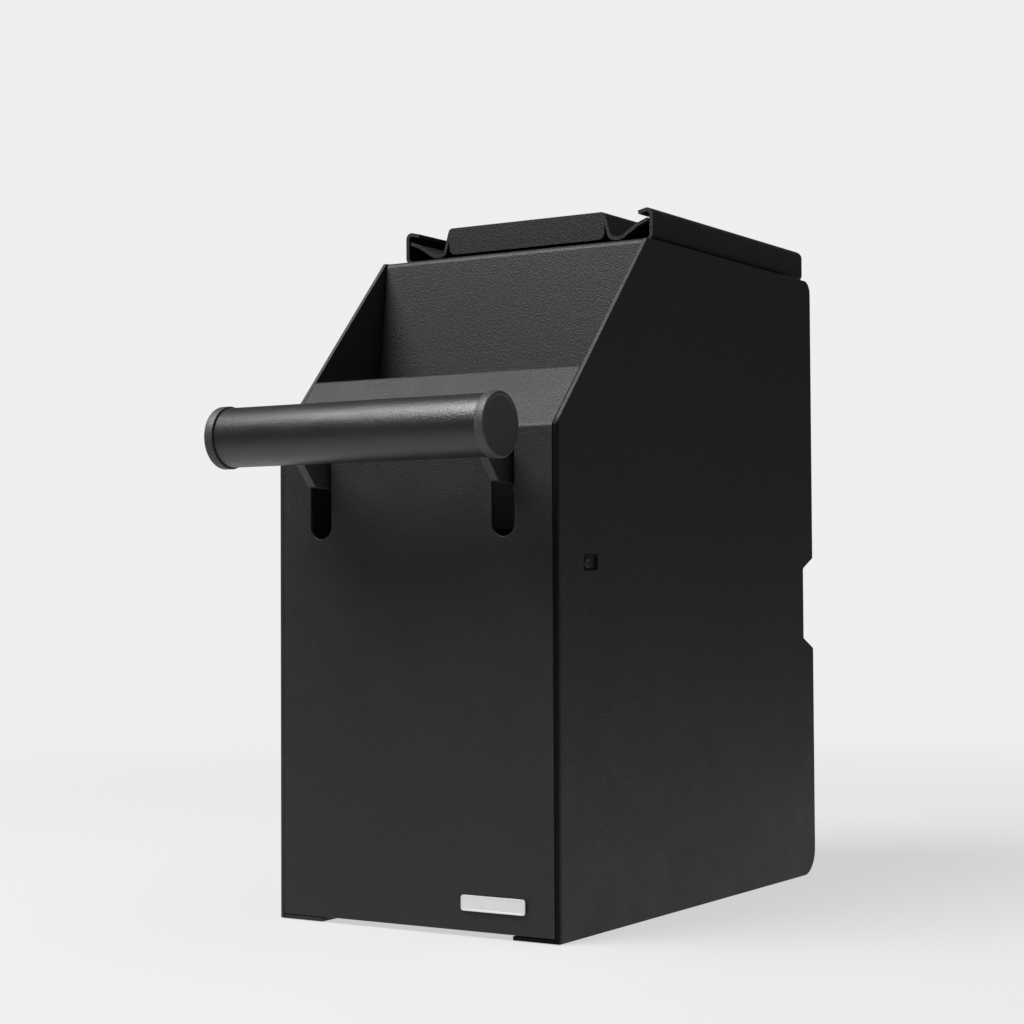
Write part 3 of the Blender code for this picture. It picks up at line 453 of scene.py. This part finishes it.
COAT_COLOURS = (0.0104, 0.0118, 0.0112), (0.0124, 0.0140, 0.0133)
# painted light: the arms' coat is a lighter copy of the casing's coat, which offsets the grip's shadow on
# them
ARM_LIT_COLOURS = (0.021, 0.0235, 0.0225), (0.025, 0.028, 0.0265)
GRIP_COLOURS = (0.0105, 0.0114, 0.0121), (0.0125, 0.0136, 0.0145)
CAP_COLOURS = (0.032, 0.0325, 0.0325), (0.04, 0.0405, 0.0405)
NYLON_COLOURS = (0.008, 0.008, 0.009), (0.012, 0.012, 0.013)
RUBBER_COLOURS = (0.02, 0.02, 0.02), (0.035, 0.035, 0.034)
ZINC_COLOURS = (0.42, 0.43, 0.45), (0.6, 0.61, 0.63)
SPRING_COLOURS = (0.3, 0.31, 0.33), (0.46, 0.47, 0.49)
NICKEL_COLOURS = (0.55, 0.53, 0.5), (0.7, 0.68, 0.64)
SHAFT_COLOURS = (0.04, 0.042, 0.046), (0.08, 0.082, 0.086)
LABEL_COLOURS = (0.7, 0.71, 0.72), (0.82, 0.83, 0.84)

# coats: roughness, grain per metre, grain depth in metres, specular, wear of the edges
COAT_FINISH = 0.48, 1900.0, 0.00015, 0.36, 0.35
COAT = coat_material("powder_coat_black", *COAT_COLOURS, *COAT_FINISH)
# coat with painted shade along the casing's upright front corner
SHADED_CORNER_COAT = coat_material("powder_coat_painted_corner_shade", *COAT_COLOURS, *COAT_FINISH, painted_front_shade=True)
GRIP_COAT = coat_material("grip_coat_black", *GRIP_COLOURS, 0.35, 2000.0, 0.0001, 0.58, 0.15)
# painted light: a lighter, shinier copy of the casing's coat for the shaded arms
ARM_LIT_COAT = coat_material("powder_coat_arm_painted_light", *ARM_LIT_COLOURS, 0.45, 1900.0, 0.00015, 0.5, 0.35)

# plastics: roughness, grain per metre, grain depth in metres, specular
CAP = plastic_material("end_cap_plastic", *CAP_COLOURS, 0.48, 1700.0, 0.00014)
NYLON = plastic_material("black_nylon", *NYLON_COLOURS, 0.65, 1400.0, 0.00002, 0.3)
RUBBER = plastic_material("pad_rubber_black", *RUBBER_COLOURS, 0.8, 1100.0, 0.00005, 0.3)

# metals: roughness, scale along X, Y and Z (a small one draws the lines out), line depth in metres,
# metallic
ZINC = metal_material("zinc_plate", *ZINC_COLOURS, 0.34, (1.0, 0.05, 1.0), 0.00001)
SPRING = metal_material("spring_wire", *SPRING_COLOURS, 0.3, (1.0, 1.0, 0.1), 0.00001)
NICKEL = metal_material("nickel_plate", *NICKEL_COLOURS, 0.22, (1.0, 0.1, 1.0), 0.000006)
SHAFT = metal_material("black_oxide_steel", *SHAFT_COLOURS, 0.4, (0.05, 1.0, 1.0), 0.00001)
LABEL = metal_material("label_brushed", *LABEL_COLOURS, 0.4, (0.04, 1.0, 1.0), 0.00001, 0.5)


def dress(made, material, body, replaced):
    """Gives a piece its material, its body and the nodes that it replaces."""
    made.data.materials.clear()
    made.data.materials.append(material)
    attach(made, body)
    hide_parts(*replaced)
    return made


# --- casing -------------------------------------------------------------------------------------------
def side_sheet(name, side):
    """Side sheet with its sloping cheek, finger notch, bush hole and riveted foot."""
    corners = [(0, 0), (DEPTH, 0), (DEPTH, NOTCH_OUTER[0]), (NOTCH_Y, NOTCH_INNER[0])]
    corners += [(NOTCH_Y, NOTCH_INNER[1]), (DEPTH, NOTCH_OUTER[1])]
    corners += [(DEPTH, BODY_TOP), (SLOPE_DEPTH, BODY_TOP), (0, FACE_TOP)]
    radii = [0.4, 9.0, 0.8, 1.0, 1.0, 0.8, 4.5, 0.8, 0.6]
    outline = rounded(corners, radii, 10)
    inside, outside = sorted((side * (HALF - SHEET), side * HALF))
    sheet = prism(f"side_sheet_{name}", outline, "X", inside, outside)
    end, root = side * (HALF - FOOT_WIDTH), side * (HALF - SHEET / 2)
    flange = [(end, 0), (root, 0), (root, SHEET), (end, SHEET)]
    foot = prism("foot", flange, "Y", GAP, FOOT_REAR)
    weld(sheet, foot)
    hole = rounded(rectangle(BUSH_HOLE, BUSH_HOLE_HALF), 0.9, 8)
    cut(sheet, prism("hole", hole, "X", inside - 1, outside + 1))
    for y in FLOOR_RIVET_YS:
        cut(sheet, rod("hole", "Z", (side * FLOOR_RIVET_X, y), -1, 3, 2.0, 24))
    soften(sheet, SIDE_EDGE, 4)
    # the right sheet's coat has painted shade along its front corner
    coat = SHADED_CORNER_COAT if side > 0 else COAT
    return dress(sheet, coat, "cabinet", [f"{name}_side_panel"])


for side_name, side_sign in SIDES:
    side_sheet(side_name, side_sign)


def front_sheet():
    """Front with the arms' slots, bent back into the funnel's lower plate and down into the box."""
    slope = (BODY_TOP - FACE_TOP) / SLOPE_DEPTH
    lip_y, lip_low, lip_bend = 19.6, 158.0, 1.8
    face = [(0, SHEET + GAP), (0, FACE_TOP), (lip_y, FACE_TOP + slope * lip_y), (lip_y, lip_low)]
    tight = INNER + GAP - HIDDEN_JOINT  # at the left
    sheet = prism("front_sheet", sheet_outline(face, [BEND, lip_bend], -1), "X", -tight, INNER)
    for _, side in SIDES:
        x = ARM_XS[side]
        slot = arc((x, SLOT_HIGH), SLOT_R, 0, 180, 24) + arc((x, SLOT_LOW), SLOT_R, 180, 360, 24)
        cut(sheet, prism("slot", slot, "Y", -1, SHEET + 1))
    soften(sheet)
    return dress(sheet, COAT, "cabinet", ["front_panel"])


def top_sheet():
    """Top with a rear flange, bent down into the funnel's back wall."""
    face = [(169.6, 203.0), (169.6, BODY_TOP), (SLOPE_DEPTH, BODY_TOP)]
    face += [(51.0, 166.0), (37.6, 146.0), (37.6, 122.0)]
    wide_bend = 6.0
    radii = [BEND, BEND, wide_bend, wide_bend]
    sheet = prism("top_sheet", sheet_outline(face, radii, 1), "X", -INNER, INNER)
    soften(sheet)
    return dress(sheet, COAT, "cabinet", ["top_panel"])


front_sheet()
top_sheet()


def label():
    """Blank label: a raised border round a plain field."""
    centre, half, border = (28.6, 9.95), (11.25, 2.35), 0.5
    front, field_front = -0.8, -0.72
    outline = rounded(rectangle(centre, half), 0.9, 6)
    plate = prism("blank_label", outline, "Y", front, -GAP)
    field = rounded(rectangle(centre, [side - border for side in half]), 0.6, 6)
    cut(plate, prism("field", field, "Y", front - 0.2, field_front))
    soften(plate, 0.06, 2)
    return dress(plate, LABEL, "cabinet", ["label_plate"])


label()


# --- lever --------------------------------------------------------------------------------------------
def arm(name, side):
    """Flat arm: an eye round the grip's bar and one round the shaft, joined by a stepped web."""
    under = [(-12.6, 144.3), (-4.6, 135.2), (7.0, 134.8), (8.6, 131.0)]
    over = [(11.5, 146.4), (9.8, 147.6), (-5.0, 147.6), (-14.0, 151.4)]
    grip_eye, shaft_eye, corner = 7.1, 6.0, 1.2
    outline = arc(GRIP, grip_eye, 18, 310, 40)
    outline += rounded_path(under, outline[-1], (13.3, 112.2), corner)
    outline += arc(PIVOT, shaft_eye, 170, 385, 40)
    outline += rounded_path(over, outline[-1], outline[0], corner)
    x = ARM_XS[side]
    made = prism(f"arm_{name}", outline, "X", x - ARM_HALF, x + ARM_HALF)
    cut(made, *(rod("bore", "X", centre, x - 3, x + 3, ARM_BORE) for centre in (GRIP, PIVOT)))
    soften(made, 0.3, 3)
    return dress(made, ARM_LIT_COAT, "lever", [f"{name}_lever_arm"])


def grip_sleeve():
    """Hollow sleeve with a slit for each arm; its joint with the right cap is too tight to show."""
    half = GRIP_HALF - CAP_RIM - GAP
    tight = GRIP_HALF - CAP_RIM - 0.04
    inner, edge, small = GRIP_R - 1.6, 0.35, 0.08
    profile = [(-half, inner), (-half, GRIP_R - edge)]
    for turn in (0.4, 0.8, 1.2):
        along = -half + edge - edge * math.cos(turn)
        profile.append((along, GRIP_R - edge + edge * math.sin(turn)))
    profile += [(-half + edge, GRIP_R), (tight - small, GRIP_R)]
    profile += [(tight, GRIP_R - small), (tight, inner)]
    sleeve = lathe("grip_sleeve", profile, "X", GRIP, 128, closed=True)
    for _, side in SIDES:
        low, high = ARM_XS[side] - ARM_HALF - GAP, ARM_XS[side] + ARM_HALF + GAP
        cut(sleeve, block("slit", (low, GRIP[0] + 3, 143.2), (high, GRIP[0] + GRIP_R + 1, 154.6)))
    turned_finish(sleeve, 30)
    return dress(sleeve, GRIP_COAT, "lever", ["grip_tube"])


def grip_end(name, side):
    """Cap with a rounded rim, a shallow dished face and a plug in the sleeve."""
    outer, rim, edge = GRIP_HALF, GRIP_HALF - CAP_RIM, 0.6
    plug, bore, depth = 7.2, 3.3, 6.0
    profile = [(outer - 0.3, 0), (outer - 0.3, 8.1), (outer - 0.24, 8.35), (outer - 0.05, 8.6)]
    for turn in (0.15, 0.45, 0.8, 1.15, 1.45):
        profile.append((outer - edge + edge * math.cos(turn), CAP_R - edge + edge * math.sin(turn)))
    profile += [(outer - 0.7, CAP_R), (rim + 0.3, CAP_R), (rim + 0.08, CAP_R - 0.08), (rim, CAP_R - 0.3)]
    profile += [(rim, plug), (rim - depth, plug)]
    profile += [(rim - depth, bore), (rim + 0.6, bore), (rim + 0.6, 0)]
    made = lathe(f"grip_end_{name}", [(side * x, r) for x, r in profile], "X", GRIP, 112)
    turned_finish(made, 38)
    return dress(made, CAP, "lever", [f"{name}_grip_cap"])


for side_name, side_sign in SIDES:
    arm(side_name, side_sign)
    grip_end(side_name, side_sign)
grip_sleeve()


def shaft():
    """Shaft with thinner ends and a centre mark in each end face."""
    end, shoulder, chamfer = HALF - 0.6, 48.0, 0.35
    half_profile = [(shoulder - 0.2, SHAFT_R), (shoulder, SHAFT_R - 0.2), (shoulder, JOURNAL_R)]
    half_profile += [(end - chamfer, JOURNAL_R), (end - 0.1, JOURNAL_R - 0.1), (end, JOURNAL_R - chamfer)]
    half_profile += [(end, 0.7), (end - 0.35, 0)]
    profile = [(-along, radius) for along, radius in half_profile[::-1]] + half_profile
    made = lathe("pivot_rod", profile, "X", PIVOT, 64)
    turned_finish(made)
    return dress(made, SHAFT, "lever", ["pivot_shaft"])


shaft()


def spring(name, side):
    """Torsion spring round the shaft: its bent tip lies on the arm, its leg on the note guide."""
    full_turns, part_turn, coil_radius, wire_radius = 5, 155, 4.6, 0.6
    first, last = math.radians(205), math.radians(205 + 360 * full_turns + part_turn)
    near, far, count = 38.0, 45.7, 190
    coil = []
    for i in range(count + 1):
        angle = first + (last - first) * i / count
        y = PIVOT[0] + coil_radius * math.cos(angle)
        z = PIVOT[1] + coil_radius * math.sin(angle)
        coil.append(Vector((near + (far - near) * i / count, y, z)))
    hold_y, hold_z = 9.7, 121.6
    arm_leg, guide_leg = Vector((near, hold_y, hold_z)), Vector((far, 25.3, 84.0))
    points = [Vector((abs(ARM_XS[side]) - 1.2, hold_y, hold_z))]
    points += [arm_leg.lerp(coil[0], i / 6) for i in range(6)]
    points += coil
    points += [coil[-1].lerp(guide_leg, i / 8) for i in range(1, 9)]
    made = wire(f"spring_{name}", [(side * p.x, p.y, p.z) for p in points], wire_radius)
    turned_finish(made, 60)
    return dress(made, SPRING, "cabinet", [f"{name}_return_spring"])


for side_name, side_sign in SIDES:
    spring(side_name, side_sign)


# --- rails and bracket --------------------------------------------------------------------------------
def tray():
    """Channel whose edges curl inwards as rails, with rounded upper rear corners."""
    half_face = [(TRAY_HALF, TRAY_Z), (TRAY_HALF, 225.9), (42.6, 224.6)]
    face = [(-x, z) for x, z in half_face[::-1]] + half_face
    outline = sheet_outline(face, [3.0, 2.6, 2.6, 3.0], 1)
    made = prism("rail_channel", outline, "Y", RAIL_FRONT, RAIL_REAR)
    corner, past = 3.0, 1.0
    y, z = RAIL_REAR - corner, TOP - corner
    shape = [(y, TOP + past), (RAIL_REAR + past, TOP + past), (RAIL_REAR + past, z)]
    shape += arc((y, z), corner, 0, 90, 10)[:-1]
    cut(made, prism("corner", shape, "X", -HALF, HALF))
    soften(made)
    return dress(made, COAT, "cabinet", ["rail_tray"])


def bracket():
    """Plate with wave-shaped edges that run in the rails, screw holes and a tab in front."""
    half, thickness = 30.2, 1.1
    half_face = [(half, TOP), (32.7, 217.0), (36.2, 216.8), (41.8, 220.5), (45.8, 222.1)]
    face = [(-x, z) for x, z in half_face[::-1]] + half_face
    half_radii = [1.6, 1.6, 3.5, 3.0]
    outline = sheet_outline(face, half_radii[::-1] + half_radii, -1, thickness)
    made = prism("counter_bracket", outline, "Y", RAIL_FRONT, BRACKET_REAR)
    low, high = 216.4, TOP - 0.8
    tab = rounded([(half, high), (-half, high), (-half, low), (half, low)], [0, 0, 2.4, 2.4], 8)
    weld(made, prism("tab", tab, "Y", RAIL_FRONT, RAIL_FRONT + SHEET))
    for x in BRACKET_HOLE_XS:
        for y in BRACKET_HOLE_YS:
            cut(made, rod("hole", "Z", (x, y), TOP - 3, TOP + 1, 2.3, 32))
    soften(made)
    return dress(made, COAT, "bracket", ["mounting_bracket"])


tray()
bracket()


# --- rear door and lock -------------------------------------------------------------------------------
def door():
    """Sheet with a flange at each side, a narrower foot and the hinge's barrel."""
    half, neck, inner = INNER - 0.6, 42.9, DOOR_Y - SHEET
    foot, step, top = 8.4, 12.0, 209.0
    corners = [(-neck, foot), (neck, foot), (neck, step), (half, step)]
    corners += [(half, top), (-half, top), (-half, step), (-neck, step)]
    outline = rounded(corners, [0, 0, 0.5, 0.8, 1.5, 1.5, 0.8, 0.5], 6)
    made = prism("door_sheet", outline, "Y", inner, DOOR_Y)
    for _, side in SIDES:
        low, high = sorted((side * (half - SHEET), side * half))
        weld(made, block("flange", (low, inner - 7, 15.0), (high, DOOR_Y - SHEET / 2, 201.0)))
    weld(made, rod("barrel", "X", HINGE, -43.4, 43.4, 3.2, 48))
    cut(made, rod("bore", "X", HINGE, -45, 45, 1.9, 36))
    cut(made, rod("hole", "Y", (0, LOCK_Z), inner - 1, DOOR_Y + 1, LOCK_HOLE, 64))
    soften(made)
    return dress(made, COAT, "door", ["rear_door"])


def lock_housing():
    """Turned housing with a rounded flange and a ridge round the core."""
    face, flange, edge, bore = 173.5, 9.5, 0.8, 5.1
    profile = [(152.0, bore), (152.0, 7.5), (152.3, 7.7), (171.8, 7.7), (171.8, 9.3), (172.0, flange)]
    for turn in (0.1, 0.5, 0.9, 1.3):
        profile.append((face - edge + edge * math.sin(turn), flange - edge + edge * math.cos(turn)))
    profile += [(face, 8.4), (face, 6.4), (face - 0.3, 6.1), (face - 0.3, bore)]
    housing = lathe("lock_housing", profile, "Y", (0, LOCK_Z), 96, closed=True)
    turned_finish(housing, 30)
    return dress(housing, NICKEL, "door", ["lock_barrel"])


def lock_core():
    """Core with a stepped keyhole."""
    front, back, radius = 173.9, 151.2, 5.0
    profile = [(back, 0), (back, 4.6), (back + 0.4, radius)]
    profile += [(front - 0.5, radius), (front - 0.12, 4.85), (front, 4.5), (front, 0)]
    core = lathe("lock_core", profile, "Y", (0, LOCK_Z), 72)
    deep, past = front - 6, front + 1
    cut(core, block("key", (-0.7, deep, LOCK_Z - 3.2), (0.7, past, LOCK_Z + 3.2)))
    cut(core, block("key_side", (0.3, deep, LOCK_Z - 0.6), (1.3, past, LOCK_Z + 0.6)))
    soften(core, 0.1, 2, 40)
    return dress(core, NICKEL, "lock", ["lock_plug"])


def lock_ring_nut():
    hexagon = arc((0, LOCK_Z), 11.0, 0, 300, 5)
    nut = prism("lock_ring_nut", rounded(hexagon, 0.8, 4), "Y", 166.8, 170.0)
    cut(nut, rod("hole", "Y", (0, LOCK_Z), 160, 175, LOCK_HOLE, 64))
    soften(nut, 0.25)
    return dress(nut, ZINC, "door", ["lock_nut"])


door()
lock_housing()
lock_core()
lock_ring_nut()


# --- fasteners ----------------------------------------------------------------------------------------
def dome(radius, base, height):
    """Profile of a domed head from its rim to its top."""
    count = 7
    turns = [math.pi / 2 * i / count for i in range(count)]
    curve = [(base + height * math.sin(t), radius * math.cos(t)) for t in turns]
    return curve + [(base + height, 0)]


def floor_rivets():
    profile = [(0.3, 0), (0.3, 1.6), (3.0, 1.6), (3.0, 2.8)] + dome(3.0, 3.15, 0.95)
    for name, side in SIDES:
        for number, y in enumerate(FLOOR_RIVET_YS, 1):
            head = f"{name}_floor_rivet_head_{number}"
            made = lathe(head, profile, "Z", (side * FLOOR_RIVET_X, y), 40)
            turned_finish(made, 50)
            dress(made, ZINC, "cabinet", [f"{name}_floor_rivet_{number}"])


def tray_rivets():
    """Rivets with a domed head below and a flat one above, which the bracket's tab passes over."""
    upper, lower, shank, head = TRAY_Z + SHEET + GAP, BODY_TOP - SHEET - GAP, 1.5, 2.9
    under = [(2 * lower - along, radius) for along, radius in dome(head, lower + 0.1, 1.2)][::-1]
    flat = dome(head, upper + 0.08, 0.3)
    profile = under + [(lower, 2.7), (lower, shank), (upper, shank), (upper, 2.8)] + flat
    centres = [(x, y) for x in TRAY_RIVET_XS for y in TRAY_RIVET_YS]
    for number, centre in enumerate(centres, 1):
        made = lathe(f"tray_rivet_head_{number}", profile, "Z", centre, 40)
        turned_finish(made, 50)
        dress(made, ZINC, "cabinet", [f"tray_rivet_{number}"])


def knob():
    """Fluted hand screw under the top sheet."""
    profile = [(202.0, 0), (202.0, 6.4), (202.4, 7.4), (203.2, 8.0), (207.4, 8.0), (208.2, 7.4)]
    profile += [(208.6, 6.4), (208.6, 2.4), (215.2, 2.4), (215.4, 2.2), (215.4, 0)]
    flutes, flute_depth, stem = 12, 0.55, 6

    def flute(angle, radius):
        if radius <= stem:
            return radius
        return radius - flute_depth * (0.5 + 0.5 * math.cos(flutes * angle))

    made = lathe("hand_screw", profile, "Z", CLAMP_SCREW, 144, flute=flute)
    turned_finish(made, 40)
    return dress(made, NYLON, "cabinet", ["bracket_clamp_screw"])


floor_rivets()
tray_rivets()
knob()


# --- frame nodes that keep their shape ----------------------------------------------------------------
KEPT = (
    (COAT, ("floor_panel", "note_retaining_frame", "left_note_guide", "right_note_guide")),
    (ZINC, ("stack_flap", "left_flap_stud", "right_flap_stud", "pusher_plate", "grip_crossbar")),
    (ZINC, ("door_hinge_pin", "lock_cam", "cam_screw", "lock_keeper", "bracket_clamp_nut")),
    (NYLON, ("left_pivot_bush", "right_pivot_bush")),
    (RUBBER, ("left_pusher_pad", "right_pusher_pad")),
    (SPRING, ("left_shaft_clip", "right_shaft_clip")),
)


def keep(name, material):
    """A frame node with its own shape, slightly rounded."""
    node = frame["nodes"][name]
    node.data.materials.clear()
    node.data.materials.append(material)
    bevel = node.modifiers.new("edges", "BEVEL")
    bevel.width, bevel.segments, bevel.limit_method = EDGE * 0.8 * MM, 2, "ANGLE"
    bevel.angle_limit = math.radians(40)


for kept_material, kept_names in KEPT:
    for kept_name in kept_names:
        keep(kept_name, kept_material)


# --- stage, in metres ---------------------------------------------------------------------------------
FLOOR_RADII, FLOOR_STEPS, FLOOR_DROP = (0.3, 0.6, 1.0, 1.6, 2.4), 48, 0.0002
FLOOR_FADE = 0.2, 0.85  # distances from the middle between which the floor fades into the background
FLOOR_TONE = (0.2, 0.2, 0.2)  # the part of the floor's brightness that shadows darken
FLOOR_GLOW = 0.58  # the rest, as from a lit table
WHITE = (1, 1, 1, 1)
CAMERA_PLACE = point(373.7, -540.2, 105.4)
CAMERA_TURN = 32.04, -1.86, -0.30  # yaw, pitch and roll in degrees
LENS = 75.76


def floor():
    """Pale paper disc under the box that fades out towards its rim."""
    data = bmesh.new()
    turns = [2 * math.pi * i / FLOOR_STEPS for i in range(FLOOR_STEPS)]
    rings = []
    for radius in FLOOR_RADII:
        rings.append([data.verts.new((radius * math.cos(t), radius * math.sin(t), 0)) for t in turns])
    data.faces.new(rings[0])
    for first, second in zip(rings, rings[1:]):
        for i in range(FLOOR_STEPS):
            j = (i + 1) % FLOOR_STEPS
            data.faces.new((first[i], second[i], second[j], first[j]))
    made = make("studio_floor", data)
    made.location.z = -FLOOR_DROP
    material = bpy.data.materials.new("studio_floor_paper")
    material.use_nodes = True
    tree = material.node_tree
    shader = tree.nodes["Principled BSDF"]
    shader.inputs["Base Color"].default_value = (*FLOOR_TONE, 1)
    shader.inputs["Roughness"].default_value = 0.9
    shader.inputs["Specular IOR Level"].default_value = 0.1
    shader.inputs["Emission Color"].default_value = WHITE
    shader.inputs["Emission Strength"].default_value = FLOOR_GLOW
    spot = tree.nodes.new("ShaderNodeTexCoord")
    length = tree.nodes.new("ShaderNodeVectorMath")
    length.operation = "LENGTH"
    fade = tree.nodes.new("ShaderNodeMapRange")
    fade.interpolation_type = "SMOOTHSTEP"
    fade.inputs["From Min"].default_value, fade.inputs["From Max"].default_value = FLOOR_FADE
    fade.inputs["To Min"].default_value = 1.0
    fade.inputs["To Max"].default_value = 0.0
    tree.links.new(spot.outputs["Object"], length.inputs[0])
    tree.links.new(length.outputs["Value"], fade.inputs["Value"])
    tree.links.new(fade.outputs["Result"], shader.inputs["Alpha"])
    made.data.materials.append(material)


def world(light, shown):
    """Dim surroundings for the light, pale behind the object for the eye."""
    made = bpy.data.worlds.new("studio")
    bpy.context.scene.world = made
    made.use_nodes = True
    tree = made.node_tree
    back = tree.nodes["Background"]
    pale = tree.nodes.new("ShaderNodeBackground")
    path = tree.nodes.new("ShaderNodeLightPath")
    mix = tree.nodes.new("ShaderNodeMixShader")
    back.inputs["Color"].default_value = WHITE
    back.inputs["Strength"].default_value = light
    pale.inputs["Color"].default_value = WHITE
    pale.inputs["Strength"].default_value = shown
    tree.links.new(path.outputs["Is Camera Ray"], mix.inputs["Fac"])
    tree.links.new(back.outputs["Background"], mix.inputs[1])
    tree.links.new(pale.outputs["Background"], mix.inputs[2])
    tree.links.new(mix.outputs["Shader"], tree.nodes["World Output"].inputs["Surface"])


def softbox(name, position, target, width, height, power):
    """Rectangular lamp that faces a point."""
    light = bpy.data.lights.new(name, "AREA")
    light.shape, light.size, light.size_y, light.energy = "RECTANGLE", width, height, power
    made = bpy.data.objects.new(name, light)
    made.location = position
    made.rotation_euler = (Vector(target) - Vector(position)).to_track_quat("-Z", "Y").to_euler()
    bpy.context.scene.collection.objects.link(made)


def camera():
    """From the front right; a positive pitch looks down, a positive roll lifts the right side."""
    yaw, pitch, roll = (math.radians(angle) for angle in CAMERA_TURN)
    ahead = Vector((-math.sin(yaw) * math.cos(pitch), math.cos(yaw) * math.cos(pitch), -math.sin(pitch)))
    right = Vector((math.cos(yaw), math.sin(yaw), 0))
    up = right.cross(ahead)
    across = right * math.cos(roll) + up * math.sin(roll)
    upward = up * math.cos(roll) - right * math.sin(roll)
    lens = bpy.data.cameras.new("photo_camera")
    lens.sensor_width, lens.lens, lens.clip_start = 36.0, LENS, 0.01
    made = bpy.data.objects.new("photo_camera", lens)
    turn = Matrix((across, upward, -ahead)).transposed().to_4x4()
    made.matrix_world = Matrix.Translation(CAMERA_PLACE) @ turn
    bpy.context.scene.collection.objects.link(made)
    bpy.context.scene.camera = made


floor()
world(light=0.08, shown=0.86)
softbox("key", (-0.5, -0.7, 1.3), (0, 0, 0.1), 1.0, 0.8, 34)
softbox("fill", (1.0, -0.9, 0.15), (0, 0, 0.12), 0.6, 0.24, 0.7)
softbox("top", (0.3, 0.15, 1.1), (0.02, 0, 0.15), 0.5, 0.5, 2.4)
camera()
view = bpy.context.scene.view_settings
view.view_transform, view.look = "Standard", "None"
view.exposure, view.gamma = 0.0, 1.0
